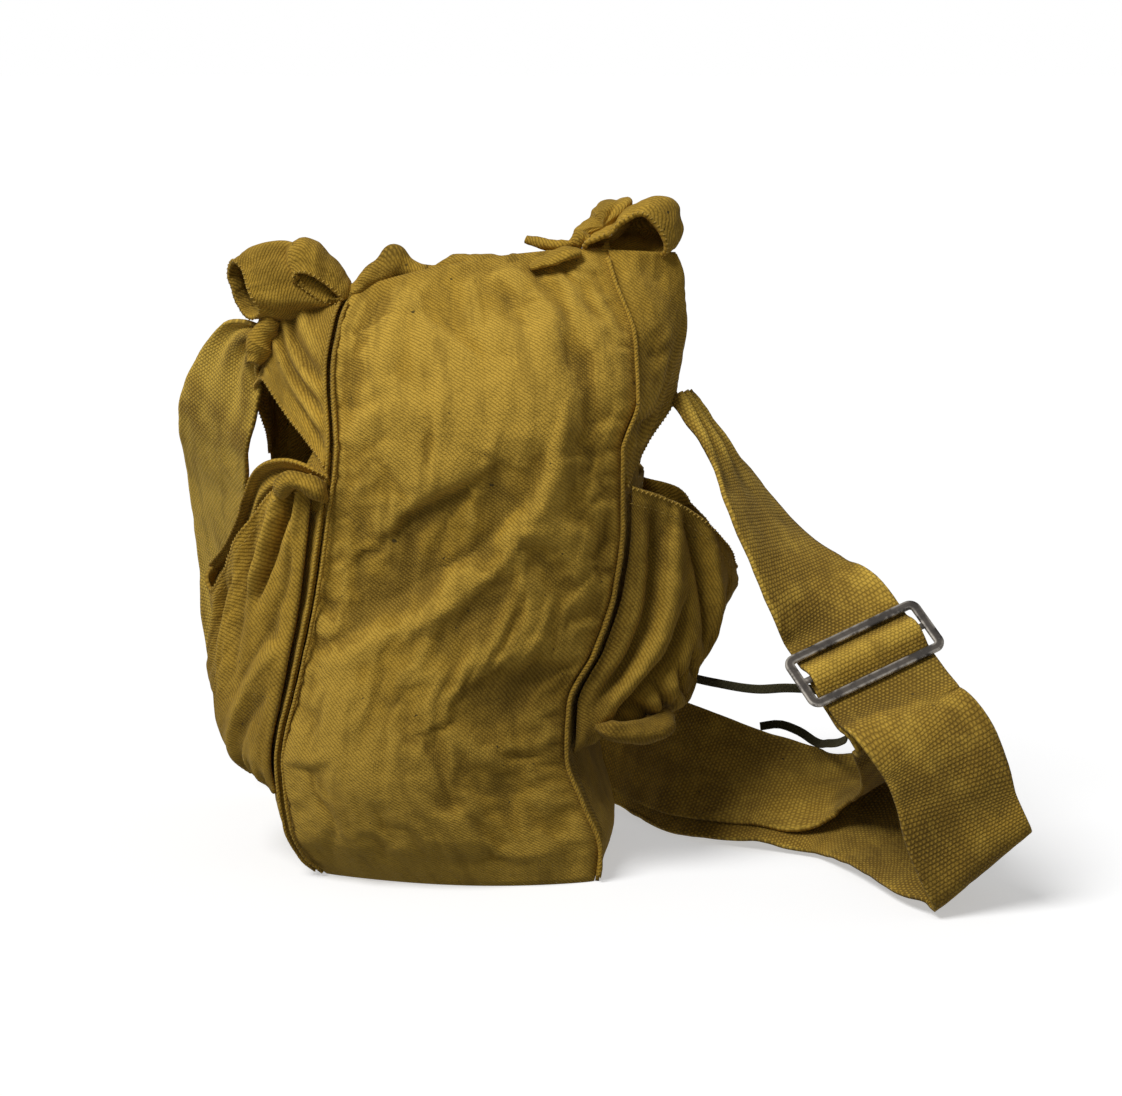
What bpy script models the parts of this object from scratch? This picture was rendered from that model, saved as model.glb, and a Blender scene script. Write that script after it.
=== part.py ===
"""Canvas satchel: a stuffed shoulder bag of heavy twill that stands on its base.

Units are metres, +X to the wearer's right as seen from the front, +Y away from
the front, +Z up. The origin is the middle of the flat base, on the floor.
"""

import math

import bmesh
import bpy
import numpy as np

# Driving sizes of the bag body
BAG_HEIGHT = 0.250
BAG_WIDTH = 0.120
BAG_DEPTH = 0.090
FRONT_BULGE = 0.020
BACK_BULGE = 0.011
SIDE_BELLY = 0.005
LEFT_EAR_REACH = 0.017
RIGHT_EAR_REACH = 0.027
CLOTH = 0.0016
GAP = 0.0005
WELT_RADIUS = 0.0016

# Driving sizes of the pockets on the two sides
LEFT_POCKET_BULGE = 0.022
RIGHT_POCKET_BULGE = 0.042

# Driving sizes of the rolled mouth, the bows and the loose ends
ROLL_RADIUS = 0.0055
ROLL_TUCK = 0.90
KNOT_RADIUS = 0.0052
LEFT_BOW_LENGTH = 0.034
RIGHT_BOW_LENGTH = 0.028
TAIL_RADIUS = 0.0026
UPPER_TAIL_SQUASH = 0.8
LOWER_TAIL_SQUASH = 0.7

# Driving sizes of the strap, its slide buckle and the tie tape
WEBBING_WIDTH = 0.050
WEBBING = 0.0018
BUCKLE_PLAY = 0.0014
BUCKLE_HEIGHT = 0.027
BUCKLE_BAR = 0.0048
BUCKLE_PLATE = 0.0018
CENTRE_BAR = 0.0030
BUCKLE_CORNER = 0.0008
RETURN_LIFT = 0.0040
RETURN_SHIFT = 0.0070
STRAP_REACH = 0.113
TAPE_WIDTH = 0.004

# Seams as seen from above: share of the seam's own height, then x as a share
# of BAG_WIDTH and y as a share of BAG_DEPTH
FRONT_LEFT_SEAM = (
    (0.000, -0.483, -0.278),
    (0.037, -0.555, -0.320),
    (0.095, -0.600, -0.367),
    (0.207, -0.625, -0.378),
    (0.351, -0.567, -0.367),
    (0.488, -0.508, -0.344),
    (0.624, -0.467, -0.344),
    (0.760, -0.437, -0.333),
    (0.868, -0.450, -0.244),
    (0.955, -0.425, -0.133),
    (1.000, -0.392, -0.056),
)
FRONT_RIGHT_SEAM = (
    (0.000, 0.450, -0.400),
    (0.050, 0.460, -0.400),
    (0.127, 0.400, -0.400),
    (0.208, 0.342, -0.400),
    (0.288, 0.350, -0.389),
    (0.377, 0.442, -0.367),
    (0.473, 0.508, -0.356),
    (0.577, 0.533, -0.356),
    (0.690, 0.533, -0.356),
    (0.770, 0.583, -0.311),
    (0.860, 0.575, -0.222),
    (0.950, 0.508, -0.089),
    (1.000, 0.475, 0.000),
)
BACK_LEFT_SEAM = (
    (0.000, -0.550, 0.467),
    (0.055, -0.600, 0.511),
    (0.210, -0.667, 0.533),
    (0.420, -0.667, 0.533),
    (0.625, -0.683, 0.533),
    (0.770, -0.692, 0.511),
    (0.900, -0.617, 0.400),
    (1.000, -0.433, 0.178),
)
BACK_RIGHT_SEAM = (
    (0.000, 0.483, 0.489),
    (0.050, 0.500, 0.522),
    (0.210, 0.433, 0.533),
    (0.380, 0.500, 0.533),
    (0.590, 0.583, 0.522),
    (0.780, 0.633, 0.489),
    (0.910, 0.600, 0.378),
    (1.000, 0.517, 0.200),
)

SEAMS = {
    "front_left": FRONT_LEFT_SEAM,
    "front_right": FRONT_RIGHT_SEAM,
    "back_left": BACK_LEFT_SEAM,
    "back_right": BACK_RIGHT_SEAM,
}
# How high each seam ends, as a share of BAG_HEIGHT
SEAM_TOPS = {
    "front_left": 0.968,
    "front_right": 1.040,
    "back_left": 0.960,
    "back_right": 1.024,
}
# How high the gussets end and where the welts start and end, as shares of the seam
LEFT_GUSSET_TOP = 0.68
RIGHT_GUSSET_TOP = 0.64
WELT_BOTTOM = 0.02
FRONT_WELT_TOP = 0.985
BACK_LEFT_WELT_TOP = 0.74
BACK_RIGHT_WELT_TOP = 0.70

# Front of the bag: share of height, bulge as a share of FRONT_BULGE, lean of
# the bulge upwards in degrees, place of its crest across the panel
FRONT_SECTIONS = (
    (0.00, 0.58, 0.0, 0.52),
    (0.03, 0.72, 0.0, 0.48),
    (0.08, 0.90, 0.0, 0.44),
    (0.18, 1.00, 0.0, 0.42),
    (0.30, 0.90, 0.0, 0.46),
    (0.45, 0.80, 0.0, 0.52),
    (0.60, 0.85, 0.0, 0.55),
    (0.77, 0.85, 8.0, 0.50),
    (0.86, 0.70, 20.0, 0.48),
    (0.95, 0.42, 42.0, 0.45),
    (1.00, 0.26, 62.0, 0.45),
)
BACK_SECTIONS = (
    (0.00, 0.20, 0.0, 0.50),
    (0.10, 0.70, 0.0, 0.50),
    (0.30, 1.00, 0.0, 0.50),
    (0.70, 0.90, 0.0, 0.50),
    (0.90, 0.60, 25.0, 0.50),
    (1.00, 0.35, 55.0, 0.45),
)

# Faces of the main panel: sections, how far it swells, and which way
PANEL_FACES = {
    "front": (FRONT_SECTIONS, FRONT_BULGE, -1.0),
    "back": (BACK_SECTIONS, BACK_BULGE, 1.0),
}

# Folds of the front panel: across and up at each end as shares of the panel,
# relief as a share of FRONT_BULGE, half width as a share of BAG_WIDTH
FRONT_FOLDS = (
    (0.93, 0.70, 0.80, 0.60, 0.14, 0.110),
    (0.80, 0.60, 0.60, 0.51, 0.17, 0.110),
    (0.60, 0.51, 0.14, 0.40, 0.17, 0.115),
    (0.72, 0.66, 0.33, 0.51, -0.14, 0.110),
    (0.90, 0.92, 0.86, 0.66, 0.10, 0.090),
    (0.78, 0.96, 0.70, 0.78, -0.10, 0.090),
    (0.10, 0.90, 0.12, 0.70, -0.10, 0.090),
    (0.20, 0.88, 0.16, 0.62, 0.08, 0.090),
)

# Ears above the pockets: place from front seam to back seam, lower edge and
# upper edge as shares of the seam's height, reach outwards as a share of the ear's
LEFT_EAR = (
    (0.00, 0.760, 0.985, 0.00),
    (0.25, 0.798, 0.955, 0.52),
    (0.45, 0.855, 0.918, 0.97),
    (0.60, 0.855, 0.918, 1.00),
    (0.80, 0.805, 0.945, 0.55),
    (1.00, 0.770, 0.985, 0.00),
)
RIGHT_EAR = (
    (0.00, 0.668, 0.995, 0.00),
    (0.25, 0.712, 0.995, 0.66),
    (0.50, 0.772, 0.996, 1.00),
    (0.75, 0.768, 0.995, 0.74),
    (1.00, 0.730, 0.990, 0.00),
)
# How far the ears swell at each height: share of height, share of the reach
LEFT_EAR_SWELL = ((0.70, 0.55), (0.86, 1.00), (0.94, 1.00), (1.00, 0.75))
RIGHT_EAR_SWELL = ((0.66, 0.20), (0.77, 0.46), (0.88, 0.74), (1.00, 1.00))

# Pocket rims: place from front seam to back seam, rim height as a share of the
# seam's height, and how open the rim stands as a share of the pocket's bulge
LEFT_RIM = (
    (0.00, 0.705, 0.00),
    (0.12, 0.680, 0.35),
    (0.35, 0.600, 0.90),
    (0.65, 0.520, 1.40),
    (0.85, 0.540, 0.85),
    (1.00, 0.600, 0.00),
)
RIGHT_RIM = (
    (0.00, 0.635, 0.00),
    (0.12, 0.600, 0.42),
    (0.35, 0.520, 0.86),
    (0.55, 0.478, 1.00),
    (0.80, 0.540, 0.66),
    (1.00, 0.600, 0.00),
)
# Pocket bellies: share of the way from bottom seam to rim, share of the bulge
LEFT_BELLY = ((0.0, 0.0), (0.10, 0.60), (0.30, 0.92), (0.55, 1.00), (0.80, 0.95), (1.0, 0.88))
RIGHT_BELLY = ((0.0, 0.0), (0.10, 0.55), (0.30, 0.88), (0.60, 1.00), (0.85, 1.00), (1.0, 0.95))
# Pleats let into the pockets: place from front to back, depth as a share of the
# bulge, half width as a share of the pocket's run
POCKET_PLEATS = (
    (0.14, -0.16, 0.045),
    (0.26, 0.08, 0.050),
    (0.38, -0.14, 0.045),
    (0.62, 0.06, 0.060),
    (0.78, -0.12, 0.050),
)
POCKET_BOTTOM = 0.150
POCKET_FRONT = 0.050
POCKET_BACK = 0.950

# Rolled mouth: place across the front panel's top edge, how far its top stands
# over that edge and its radius, both as shares of ROLL_RADIUS
MOUTH_ROLL = (
    (0.06, 0.20, 0.60),
    (0.14, 0.75, 0.90),
    (0.20, 1.10, 1.10),
    (0.27, 0.45, 0.85),
    (0.35, 0.30, 0.80),
    (0.44, 0.50, 1.00),
    (0.54, 0.45, 1.05),
    (0.64, 0.35, 0.90),
    (0.72, 0.15, 0.60),
)

# Strap stations: place across, from 0 at the middle to 1 at the bag's side, 2 at
# the ear's reach and 3 at STRAP_REACH beyond it, then shares of BAG_DEPTH and
# BAG_HEIGHT, direction from one edge of the webbing to the other, share of width
STRAP_DOWN = (
    (2.030, 0.060, 0.794, (0.45, 0.88, 0.10), 0.22),
    (2.087, 0.022, 0.758, (0.30, 0.95, 0.08), 0.40),
    (2.156, -0.011, 0.716, (0.25, 0.96, 0.05), 0.62),
    (2.243, -0.067, 0.652, (0.38, 0.92, 0.03), 0.84),
    (2.305, -0.133, 0.608, (0.42, 0.90, 0.03), 0.95),
    (2.404, -0.230, 0.544, (0.58, 0.81, 0.06), 1.00),
    (2.491, -0.310, 0.496, (0.76, 0.60, 0.16), 1.00),
)
STRAP_FOLD = (
    (2.810, -0.856, 0.322, (0.91, 0.32, 0.26), 1.00),
    (2.900, -0.922, 0.276, (0.90, 0.31, 0.30), 1.00),
    (2.955, -0.944, 0.220, (0.90, 0.30, 0.31), 1.00),
    (2.991, -0.956, 0.160, (0.89, 0.28, 0.36), 1.00),
    (3.036, -0.960, 0.112, (0.84, 0.25, 0.46), 1.00),
    (3.067, -0.940, 0.082, (0.80, 0.22, 0.56), 1.00),
    (3.071, -0.895, 0.070, (0.79, 0.22, 0.57), 1.00),
    (3.053, -0.845, 0.072, (0.80, 0.26, 0.53), 1.00),
    (2.991, -0.700, 0.060, (0.82, 0.42, 0.38), 1.00),
    (2.902, -0.400, 0.058, (0.82, 0.45, 0.36), 1.00),
    (2.797, -0.100, 0.060, (0.70, 0.58, 0.42), 1.00),
    (2.673, 0.140, 0.062, (0.42, 0.76, 0.48), 1.00),
    (2.522, 0.260, 0.062, (0.20, 0.84, 0.50), 1.00),
    (2.381, 0.330, 0.072, (0.12, 0.82, 0.56), 1.00),
    (2.239, 0.400, 0.078, (0.06, 0.76, 0.64), 1.00),
    (2.097, 0.520, 0.084, (0.04, 0.66, 0.74), 1.00),
    (1.814, 0.760, 0.092, (0.06, 0.50, 0.86), 1.00),
    (1.150, 1.060, 0.100, (0.08, 0.30, 0.95), 1.00),
    (0.600, 1.230, 0.106, (0.04, 0.12, 0.99), 1.00),
    (0.000, 1.270, 0.108, (0.00, 0.04, 1.00), 1.00),
    (-0.600, 1.200, 0.112, (0.04, -0.06, 1.00), 1.00),
    (-1.585, 1.120, 0.140, (0.20, -0.26, 0.94), 1.00),
    (-2.151, 1.020, 0.220, (0.40, -0.50, 0.76), 1.00),
    (-2.257, 0.900, 0.340, (0.46, -0.76, 0.44), 1.00),
    (-2.292, 0.770, 0.470, (0.48, -0.86, 0.10), 1.00),
    (-2.297, 0.590, 0.590, (0.54, -0.84, -0.02), 1.00),
    (-2.288, 0.430, 0.680, (0.62, -0.77, -0.08), 1.00),
    (-2.271, 0.340, 0.732, (0.67, -0.72, -0.16), 0.96),
    (-2.235, 0.275, 0.778, (0.67, -0.68, -0.28), 0.80),
    (-2.193, 0.232, 0.818, (0.60, -0.60, -0.52), 0.58),
    (-2.152, 0.215, 0.852, (0.40, -0.40, -0.82), 0.34),
)
RETURN_DROP = (
    (2.788, -0.720, 0.318, (0.90, 0.34, 0.28), 1.00),
    (2.844, -0.520, 0.262, (0.87, 0.42, 0.26), 1.00),
    (2.872, -0.260, 0.200, (0.78, 0.58, 0.24), 1.00),
    (2.832, 0.020, 0.148, (0.60, 0.78, 0.20), 1.00),
    (2.735, 0.200, 0.116, (0.36, 0.90, 0.26), 1.00),
)
# First and last of the fold's stations that the return layer is laid along
RETURN_LAID = (12, 19)

# Where the slide buckle sits, its long way and its short way down the strap
BUCKLE_PLACE = (2.673, -0.567, 0.400)
BUCKLE_ALONG = (0.92, 0.22, 0.31)
BUCKLE_DOWN = (0.45, -0.65, -0.61)

# Weave of the webbing through the buckle: distance down as a share of the
# buckle's height, height over its plate in steps of plate, gap and webbing
THROUGH_BUCKLE = (
    (-0.80, -1.0),
    (-0.52, -1.0),
    (-0.32, -1.0),
    (-0.13, 0.45),
    (0.00, 1.0),
    (0.13, 0.45),
    (0.32, -1.0),
    (0.52, -1.0),
    (0.80, -1.0),
)
BEHIND_BUCKLE = ((-0.06, -1.0), (0.12, -1.55), (0.32, -2.4), (0.52, -2.5), (0.80, -2.6))

# Tie tape from behind the right pocket to the strap and down on to its layers,
# with places as in the strap's tables
TAPE_ROUTE = (
    (0.933, 0.640, 0.300),
    (1.296, 0.590, 0.296),
    (1.741, 0.500, 0.292),
    (2.045, 0.340, 0.292),
    (2.169, 0.040, 0.302),
    (2.310, -0.240, 0.314),
    (2.434, -0.440, 0.332),
    (2.513, -0.480, 0.332),
    (2.602, -0.400, 0.292),
    (2.646, -0.230, 0.240),
    (2.646, 0.080, 0.196),
    (2.620, 0.360, 0.168),
    (2.584, 0.600, 0.150),
    (2.522, 0.720, 0.160),
    (2.451, 0.780, 0.166),
    (2.381, 0.800, 0.160),
)

# Loops of the bows, from the open end inwards: centre as shares of BAG_WIDTH,
# BAG_DEPTH and BAG_HEIGHT, the way of the longer half, its two halves as shares
# of the bow's length, the way of the shorter half
LEFT_BOW = (
    ((-0.753, -0.006, 0.970), (0.35, 0.00, -0.94), 0.50, 0.18, (0.60, -0.75, 0.20)),
    ((-0.663, 0.074, 0.974), (0.36, 0.00, -0.93), 0.42, 0.19, (0.60, -0.75, 0.20)),
    ((-0.578, 0.134, 0.970), (0.40, 0.00, -0.91), 0.32, 0.17, (0.55, -0.80, 0.20)),
    ((-0.508, 0.184, 0.966), (0.45, 0.00, -0.89), 0.20, 0.12, (0.50, -0.82, 0.20)),
)
LEFT_BOW_FOLD = (
    ((-0.521, -0.020, 1.010), (0.77, 0.00, -0.64), 0.44, 0.18, (0.64, 0.00, 0.77)),
    ((-0.511, 0.080, 1.014), (0.77, 0.00, -0.64), 0.44, 0.18, (0.64, 0.00, 0.77)),
    ((-0.496, 0.180, 1.010), (0.77, 0.00, -0.64), 0.36, 0.16, (0.64, 0.00, 0.77)),
)
RIGHT_BOW = (
    ((0.588, -0.030, 1.0736), (1.00, 0.00, -0.05), 0.62, 0.357, (0.05, 0.00, 1.00)),
    ((0.588, 0.070, 1.0776), (1.00, 0.00, -0.05), 0.60, 0.367, (0.05, 0.00, 1.00)),
    ((0.575, 0.170, 1.0736), (1.00, 0.00, -0.05), 0.48, 0.337, (0.05, 0.00, 1.00)),
)
RIGHT_BOW_FOLD = (
    ((0.475, 0.174, 1.080), (0.95, 0.00, 0.30), 0.46, 0.28, (-0.30, 0.00, 0.95)),
    ((0.480, 0.264, 1.082), (0.95, 0.00, 0.30), 0.46, 0.30, (-0.30, 0.00, 0.95)),
    ((0.475, 0.354, 1.076), (0.95, 0.00, 0.30), 0.34, 0.24, (-0.30, 0.00, 0.95)),
)
# Knots: centre with places as in the strap's tables, halves as shares of KNOT_RADIUS
LEFT_KNOT = ((-2.080, -0.016, 0.870), (0.95, 0.90, 1.30))
RIGHT_KNOT = ((0.804, 0.021, 1.052), (0.95, 0.90, 0.75))
# Loose ends of the tie, from the knot outwards, as shares of the bag's three sizes
UPPER_TAIL = ((0.359, 0.011, 1.046), (0.292, 0.021, 1.044), (0.227, 0.041, 1.050))
LOWER_TAIL = ((0.375, -0.078, 1.028), (0.310, -0.098, 1.020), (0.235, -0.113, 1.010))

MATERIALS = {
    "canvas": ((0.235, 0.170, 0.043), 0.92, 0.0),
    "webbing": ((0.205, 0.150, 0.040), 0.90, 0.0),
    "tape": ((0.045, 0.045, 0.020), 0.90, 0.0),
    "steel": ((0.060, 0.052, 0.045), 0.45, 0.85),
}


def clear_scene():
    for thing in list(bpy.data.objects):
        bpy.data.objects.remove(thing, do_unlink=True)


def material(name):
    """One Principled finish for each stuff the bag is made of."""
    made = bpy.data.materials.get(name)
    if made is None:
        colour, roughness, metallic = MATERIALS[name]
        made = bpy.data.materials.new(name)
        made.use_nodes = True
        shader = made.node_tree.nodes["Principled BSDF"]
        shader.inputs["Base Color"].default_value = (*colour, 1.0)
        shader.inputs["Roughness"].default_value = roughness
        shader.inputs["Metallic"].default_value = metallic
    return made


def read_rows(rows, at, rounded=False):
    """Smooth curve through rows whose first column is the place; flat rows stay flat.

    With rounded set the curve swings freely through the rows, as a strap does.
    """
    table = np.asarray(rows, float)
    place, value = table[:, 0], table[:, 1:]
    step = np.diff(place)
    slope = np.diff(value, axis=0) / step[:, None]
    tangent = np.empty_like(value)
    tangent[0], tangent[-1] = slope[0], slope[-1]
    before, after = slope[:-1], slope[1:]
    if rounded:
        share = (step[1:] / (step[:-1] + step[1:]))[:, None]
        tangent[1:-1] = before * share + after * (1.0 - share)
    else:
        same = before * after > 0.0
        total = np.where(same, before + after, 1.0)
        tangent[1:-1] = np.where(same, 2.0 * before * after / total, 0.0)
    at = np.clip(np.asarray(at, float), place[0], place[-1])
    k = np.clip(np.searchsorted(place, at, side="right") - 1, 0, len(step) - 1)
    width = step[k][..., None]
    t = ((at - place[k]) / step[k])[..., None]
    h00 = 2 * t**3 - 3 * t**2 + 1
    h10 = t**3 - 2 * t**2 + t
    h01 = 3 * t**2 - 2 * t**3
    h11 = t**3 - t**2
    return (h00 * value[k] + h10 * width * tangent[k]
            + h01 * value[k + 1] + h11 * width * tangent[k + 1])


def unit(vectors):
    vectors = np.asarray(vectors, float)
    return vectors / np.linalg.norm(vectors, axis=-1, keepdims=True)


def seam_points(seam, heights):
    """Points of one corner seam at the given shares of its height."""
    plan = read_rows(SEAMS[seam], heights)
    return np.stack([plan[..., 0] * BAG_WIDTH, plan[..., 1] * BAG_DEPTH,
                     np.asarray(heights, float) * SEAM_TOPS[seam] * BAG_HEIGHT], axis=-1)


def add_solid(name, points, faces, stuff, smooth=True):
    mesh = bpy.data.meshes.new(name)
    mesh.from_pydata([tuple(p) for p in points], [], faces)
    mesh.update()
    if smooth:
        mesh.shade_smooth()
    thing = bpy.data.objects.new(name, mesh)
    bpy.context.scene.collection.objects.link(thing)
    mesh.materials.append(material(stuff))
    return thing


def add_wall(name, outer, inner, stuff, ring=False):
    """Closed wall between two grids of points; with ring set the columns join up.

    Seen from outside, rows run down and columns run to the right.
    """
    rows, columns = outer.shape[:2]
    points = np.concatenate([outer.reshape(-1, 3), inner.reshape(-1, 3)])
    back = rows * columns
    faces = []

    def at(i, j):
        return i * columns + j % columns

    for i in range(rows - 1):
        for j in range(columns if ring else columns - 1):
            quad = (at(i, j), at(i + 1, j), at(i + 1, j + 1), at(i, j + 1))
            faces.append(quad)
            faces.append(tuple(back + k for k in reversed(quad)))
    for j in range(columns if ring else columns - 1):
        for i, first, second in ((0, j + 1, j), (rows - 1, j, j + 1)):
            a, b = at(i, first), at(i, second)
            faces.append((b, a, back + a, back + b))
    if not ring:
        for i in range(rows - 1):
            for j, first, second in ((0, i, i + 1), (columns - 1, i + 1, i)):
                a, b = at(first, j), at(second, j)
                faces.append((b, a, back + a, back + b))
    return add_solid(name, points, faces, stuff)


def add_tube(name, path, radii, sides, stuff, squash=1.0):
    """Closed rod round a path, with a radius for each point."""
    path = np.asarray(path, float)
    ahead = unit(np.gradient(path, axis=0))
    level = unit(np.cross(ahead, (0.0, 0.0, 1.0)) + 1e-9)
    upward = np.cross(level, ahead)
    angles = np.linspace(0.0, 2.0 * math.pi, sides, endpoint=False)
    rings = [path[k] + radii[k] * (math.cos(a) * level[k] + squash * math.sin(a) * upward[k])
             for k in range(len(path)) for a in angles]
    faces = [tuple(range(sides)),
             tuple((len(path) - 1) * sides + k for k in reversed(range(sides)))]
    for k in range(len(path) - 1):
        for j in range(sides):
            low, nxt = k * sides + j, k * sides + (j + 1) % sides
            faces.append((low, low + sides, nxt + sides, nxt))
    return add_solid(name, rings, faces, stuff)


def crowned(across, crest):
    """Swell across a panel, nought at both seams and one at the crest."""
    bent = across ** (math.log(0.5) / np.log(crest))
    return np.sin(math.pi * np.clip(bent, 0.0, 1.0)) ** 0.8


def fold_relief(across, up):
    """Height of the front panel's folds over its swell."""
    total = np.zeros(np.broadcast(across, up).shape)
    x, y = across * BAG_WIDTH, up * BAG_HEIGHT
    for a0, b0, a1, b1, relief, half in FRONT_FOLDS:
        start = np.array((a0 * BAG_WIDTH, b0 * BAG_HEIGHT))
        run = np.array((a1 * BAG_WIDTH, b1 * BAG_HEIGHT)) - start
        share = np.clip(((x - start[0]) * run[0] + (y - start[1]) * run[1]) / run.dot(run), 0, 1)
        away = np.hypot(x - start[0] - share * run[0], y - start[1] - share * run[1])
        total += relief * FRONT_BULGE * np.exp(-(away / (half * BAG_WIDTH)) ** 2)
    edge = np.clip(across / 0.08, 0, 1) * np.clip((1.0 - across) / 0.08, 0, 1)
    return total * edge


def panel_rows(face, heights, across):
    """Front or back of the main panel, one row of points for each height."""
    sections, swell, forward = PANEL_FACES[face]
    low = seam_points(face + "_left", heights)[:, None, :]
    high = seam_points(face + "_right", heights)[:, None, :]
    shape = read_rows(sections, heights)
    lean = np.radians(shape[:, 1])
    out = np.stack([np.zeros_like(lean), forward * np.cos(lean), np.sin(lean)], axis=-1)
    amount = shape[:, :1] * swell * crowned(across[None, :], shape[:, 2:3])
    if forward < 0:
        amount = amount + fold_relief(across[None, :], np.asarray(heights)[:, None])
    return low + (high - low) * across[None, :, None] + out[:, None, :] * amount[..., None]


def outward_normals(grid):
    """Unit normals of a grid whose rows run down and columns run to the right."""
    along, across = np.gradient(grid, axis=0), np.gradient(grid, axis=1)
    return unit(np.cross(along, across))


def seam_heights(top):
    """Rows that the panels share down a seam, so that their edges match."""
    rows = np.append(np.linspace(1.0, 0.04, 25), (0.016, 0.0))
    return rows[rows <= top + 1e-6]


def make_main_panel():
    """One length of canvas: down the front, under the base and up the back."""
    across = np.linspace(0.0, 1.0, 14)
    front = panel_rows("front", seam_heights(1.0), across)
    back = panel_rows("back", seam_heights(1.0)[::-1], across)
    steps = np.linspace(0.0, 1.0, 7)[1:-1, None, None]
    base = front[-1] + (back[0] - front[-1]) * steps
    outer = np.concatenate([front, base, back])
    inner = outer - CLOTH * outward_normals(outer)
    return add_wall("main_panel", outer, inner, "canvas")


def side_points(side, place, heights, reach):
    """Points between the front and back seams of one side, pushed outwards by reach."""
    name = "_left" if side < 0 else "_right"
    front = seam_points("front" + name, heights)
    run = seam_points("back" + name, heights) - front
    flat = unit(run * (1.0, 1.0, 0.0))
    out = side * np.stack([flat[..., 1], -flat[..., 0], np.zeros_like(flat[..., 0])], axis=-1)
    return front + run * np.asarray(place)[..., None] + out * np.asarray(reach)[..., None]


def side_wall(name, side, place, heights, reach):
    """Cloth wall on one side; place and heights are grids, rows from the top down."""
    inner = side_points(side, place, heights, reach)
    outer = side_points(side, place, heights, reach + CLOTH)
    if side < 0:
        inner, outer = inner[:, ::-1], outer[:, ::-1]
    return add_wall(name, outer, inner, "canvas")


def make_gusset(name, side, rim):
    """Side panel from the base to just under the mouth of its opening."""
    place, height = np.meshgrid(np.linspace(0.0, 1.0, 7), seam_heights(rim))
    belly = GAP + SIDE_BELLY * np.sin(math.pi * place) * np.clip(height / 0.08, 0.0, 1.0)
    return side_wall(name, side, place, height, belly)


def make_ear(name, side, rows, swell, reach):
    """Top of the side, drawn out to a corner where the strap is knotted."""
    place, share = np.meshgrid(np.linspace(0.0, 1.0, 13), np.linspace(1.0, 0.0, 9))
    shape = read_rows(rows, place)
    height = shape[..., 0] + (shape[..., 1] - shape[..., 0]) * share
    push = read_rows(swell, height)[..., 0] * shape[..., 2]
    return side_wall(name, side, place, height, 1.8 * GAP + reach * push)


def make_pocket(name, side, rim_rows, belly_rows, bulge):
    """Gathered patch pocket: sewn on three sides and standing open at its rim."""
    place, share = np.meshgrid(np.linspace(POCKET_FRONT, POCKET_BACK, 15),
                               np.concatenate([np.linspace(1.0, 0.1, 10), (0.05, 0.0)]))
    run = (place - POCKET_FRONT) / (POCKET_BACK - POCKET_FRONT)
    rim = read_rows(rim_rows, run)
    height = POCKET_BOTTOM + (rim[..., 0] - POCKET_BOTTOM) * share
    full = np.sin(math.pi * run) ** 0.6
    profile = full + (rim[..., 1] - full) * share ** 2
    pleats = sum(depth * np.exp(-((run - centre) / half) ** 2)
                 for centre, depth, half in POCKET_PLEATS)
    belly = read_rows(belly_rows, share)[..., 0]
    push = bulge * belly * profile * (1.0 + pleats)
    gusset = SIDE_BELLY * np.sin(math.pi * place) * np.clip(height / 0.08, 0.0, 1.0)
    return side_wall(name, side, place, height, gusset + 3.0 * GAP + CLOTH + push)


def make_welt(name, side, front, top, count):
    """Raised piped seam that covers the joint of main panel and side."""
    heights = np.linspace(top, WELT_BOTTOM, count)
    here = side_points(side, np.zeros(count) if front else np.ones(count), heights, np.zeros(count))
    there = side_points(side, np.full(count, 0.5), heights, np.zeros(count))
    away = unit((here - there) * (1.0, 1.0, 0.0))
    out = side * np.stack([away[:, 1], -away[:, 0], np.zeros(count)], axis=-1)
    if front:
        out = -out
    path = here + out * CLOTH + away * (WELT_RADIUS + 1.5 * GAP)
    return add_tube(name, path, [WELT_RADIUS] * count, 6, "canvas")


def make_mouth_roll():
    """Hem of the mouth, rolled up tight behind the front panel's top edge."""
    across = np.linspace(MOUTH_ROLL[0][0], MOUTH_ROLL[-1][0], 25)
    shape = read_rows(MOUTH_ROLL, across) * ROLL_RADIUS
    path = panel_rows("front", np.array([1.0]), across)[0]
    path[:, 1] += CLOTH + GAP + ROLL_TUCK * shape[:, 1]
    path[:, 2] += shape[:, 0] - shape[:, 1]
    return add_tube("mouth_roll", path, shape[:, 1], 8, "canvas")


def ribbon_frames(stations, parts):
    """Centres, edge directions, normals and width shares through strap stations."""
    centres = np.array([row[:3] for row in stations])
    legs = np.linalg.norm(np.diff(centres, axis=0), axis=1)
    place = np.concatenate([[0.0], np.cumsum(legs)])
    rows = [(place[k], *centres[k], *unit(stations[k][3]), stations[k][4])
            for k in range(len(stations))]
    steps = np.arange(parts) / parts
    at = np.append((place[:-1, None] + legs[:, None] * steps).ravel(), place[-1])
    read = read_rows(rows, at, rounded=True)
    centre = read[:, :3]
    ahead = unit(np.gradient(centre, at, axis=0))
    edge = read[:, 3:6]
    edge = unit(edge - (edge * ahead).sum(axis=1, keepdims=True) * ahead)
    return centre, edge, np.cross(ahead, edge), read[:, 6]


def add_ribbon(name, stations, parts=2):
    """Strap of woven webbing along its stations, two strips wide."""
    centre, edge, normal, share = ribbon_frames(stations, parts)
    strips = np.linspace(-0.5, 0.5, 3)
    middle = centre[:, None] + edge[:, None] * (WEBBING_WIDTH * share[:, None] * strips)[..., None]
    floor = 0.5 * WEBBING + GAP
    middle[..., 2] = np.maximum(middle[..., 2], floor)
    half = 0.5 * WEBBING * normal[:, None]
    return add_wall(name, middle + half, middle - half, "webbing")


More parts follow.
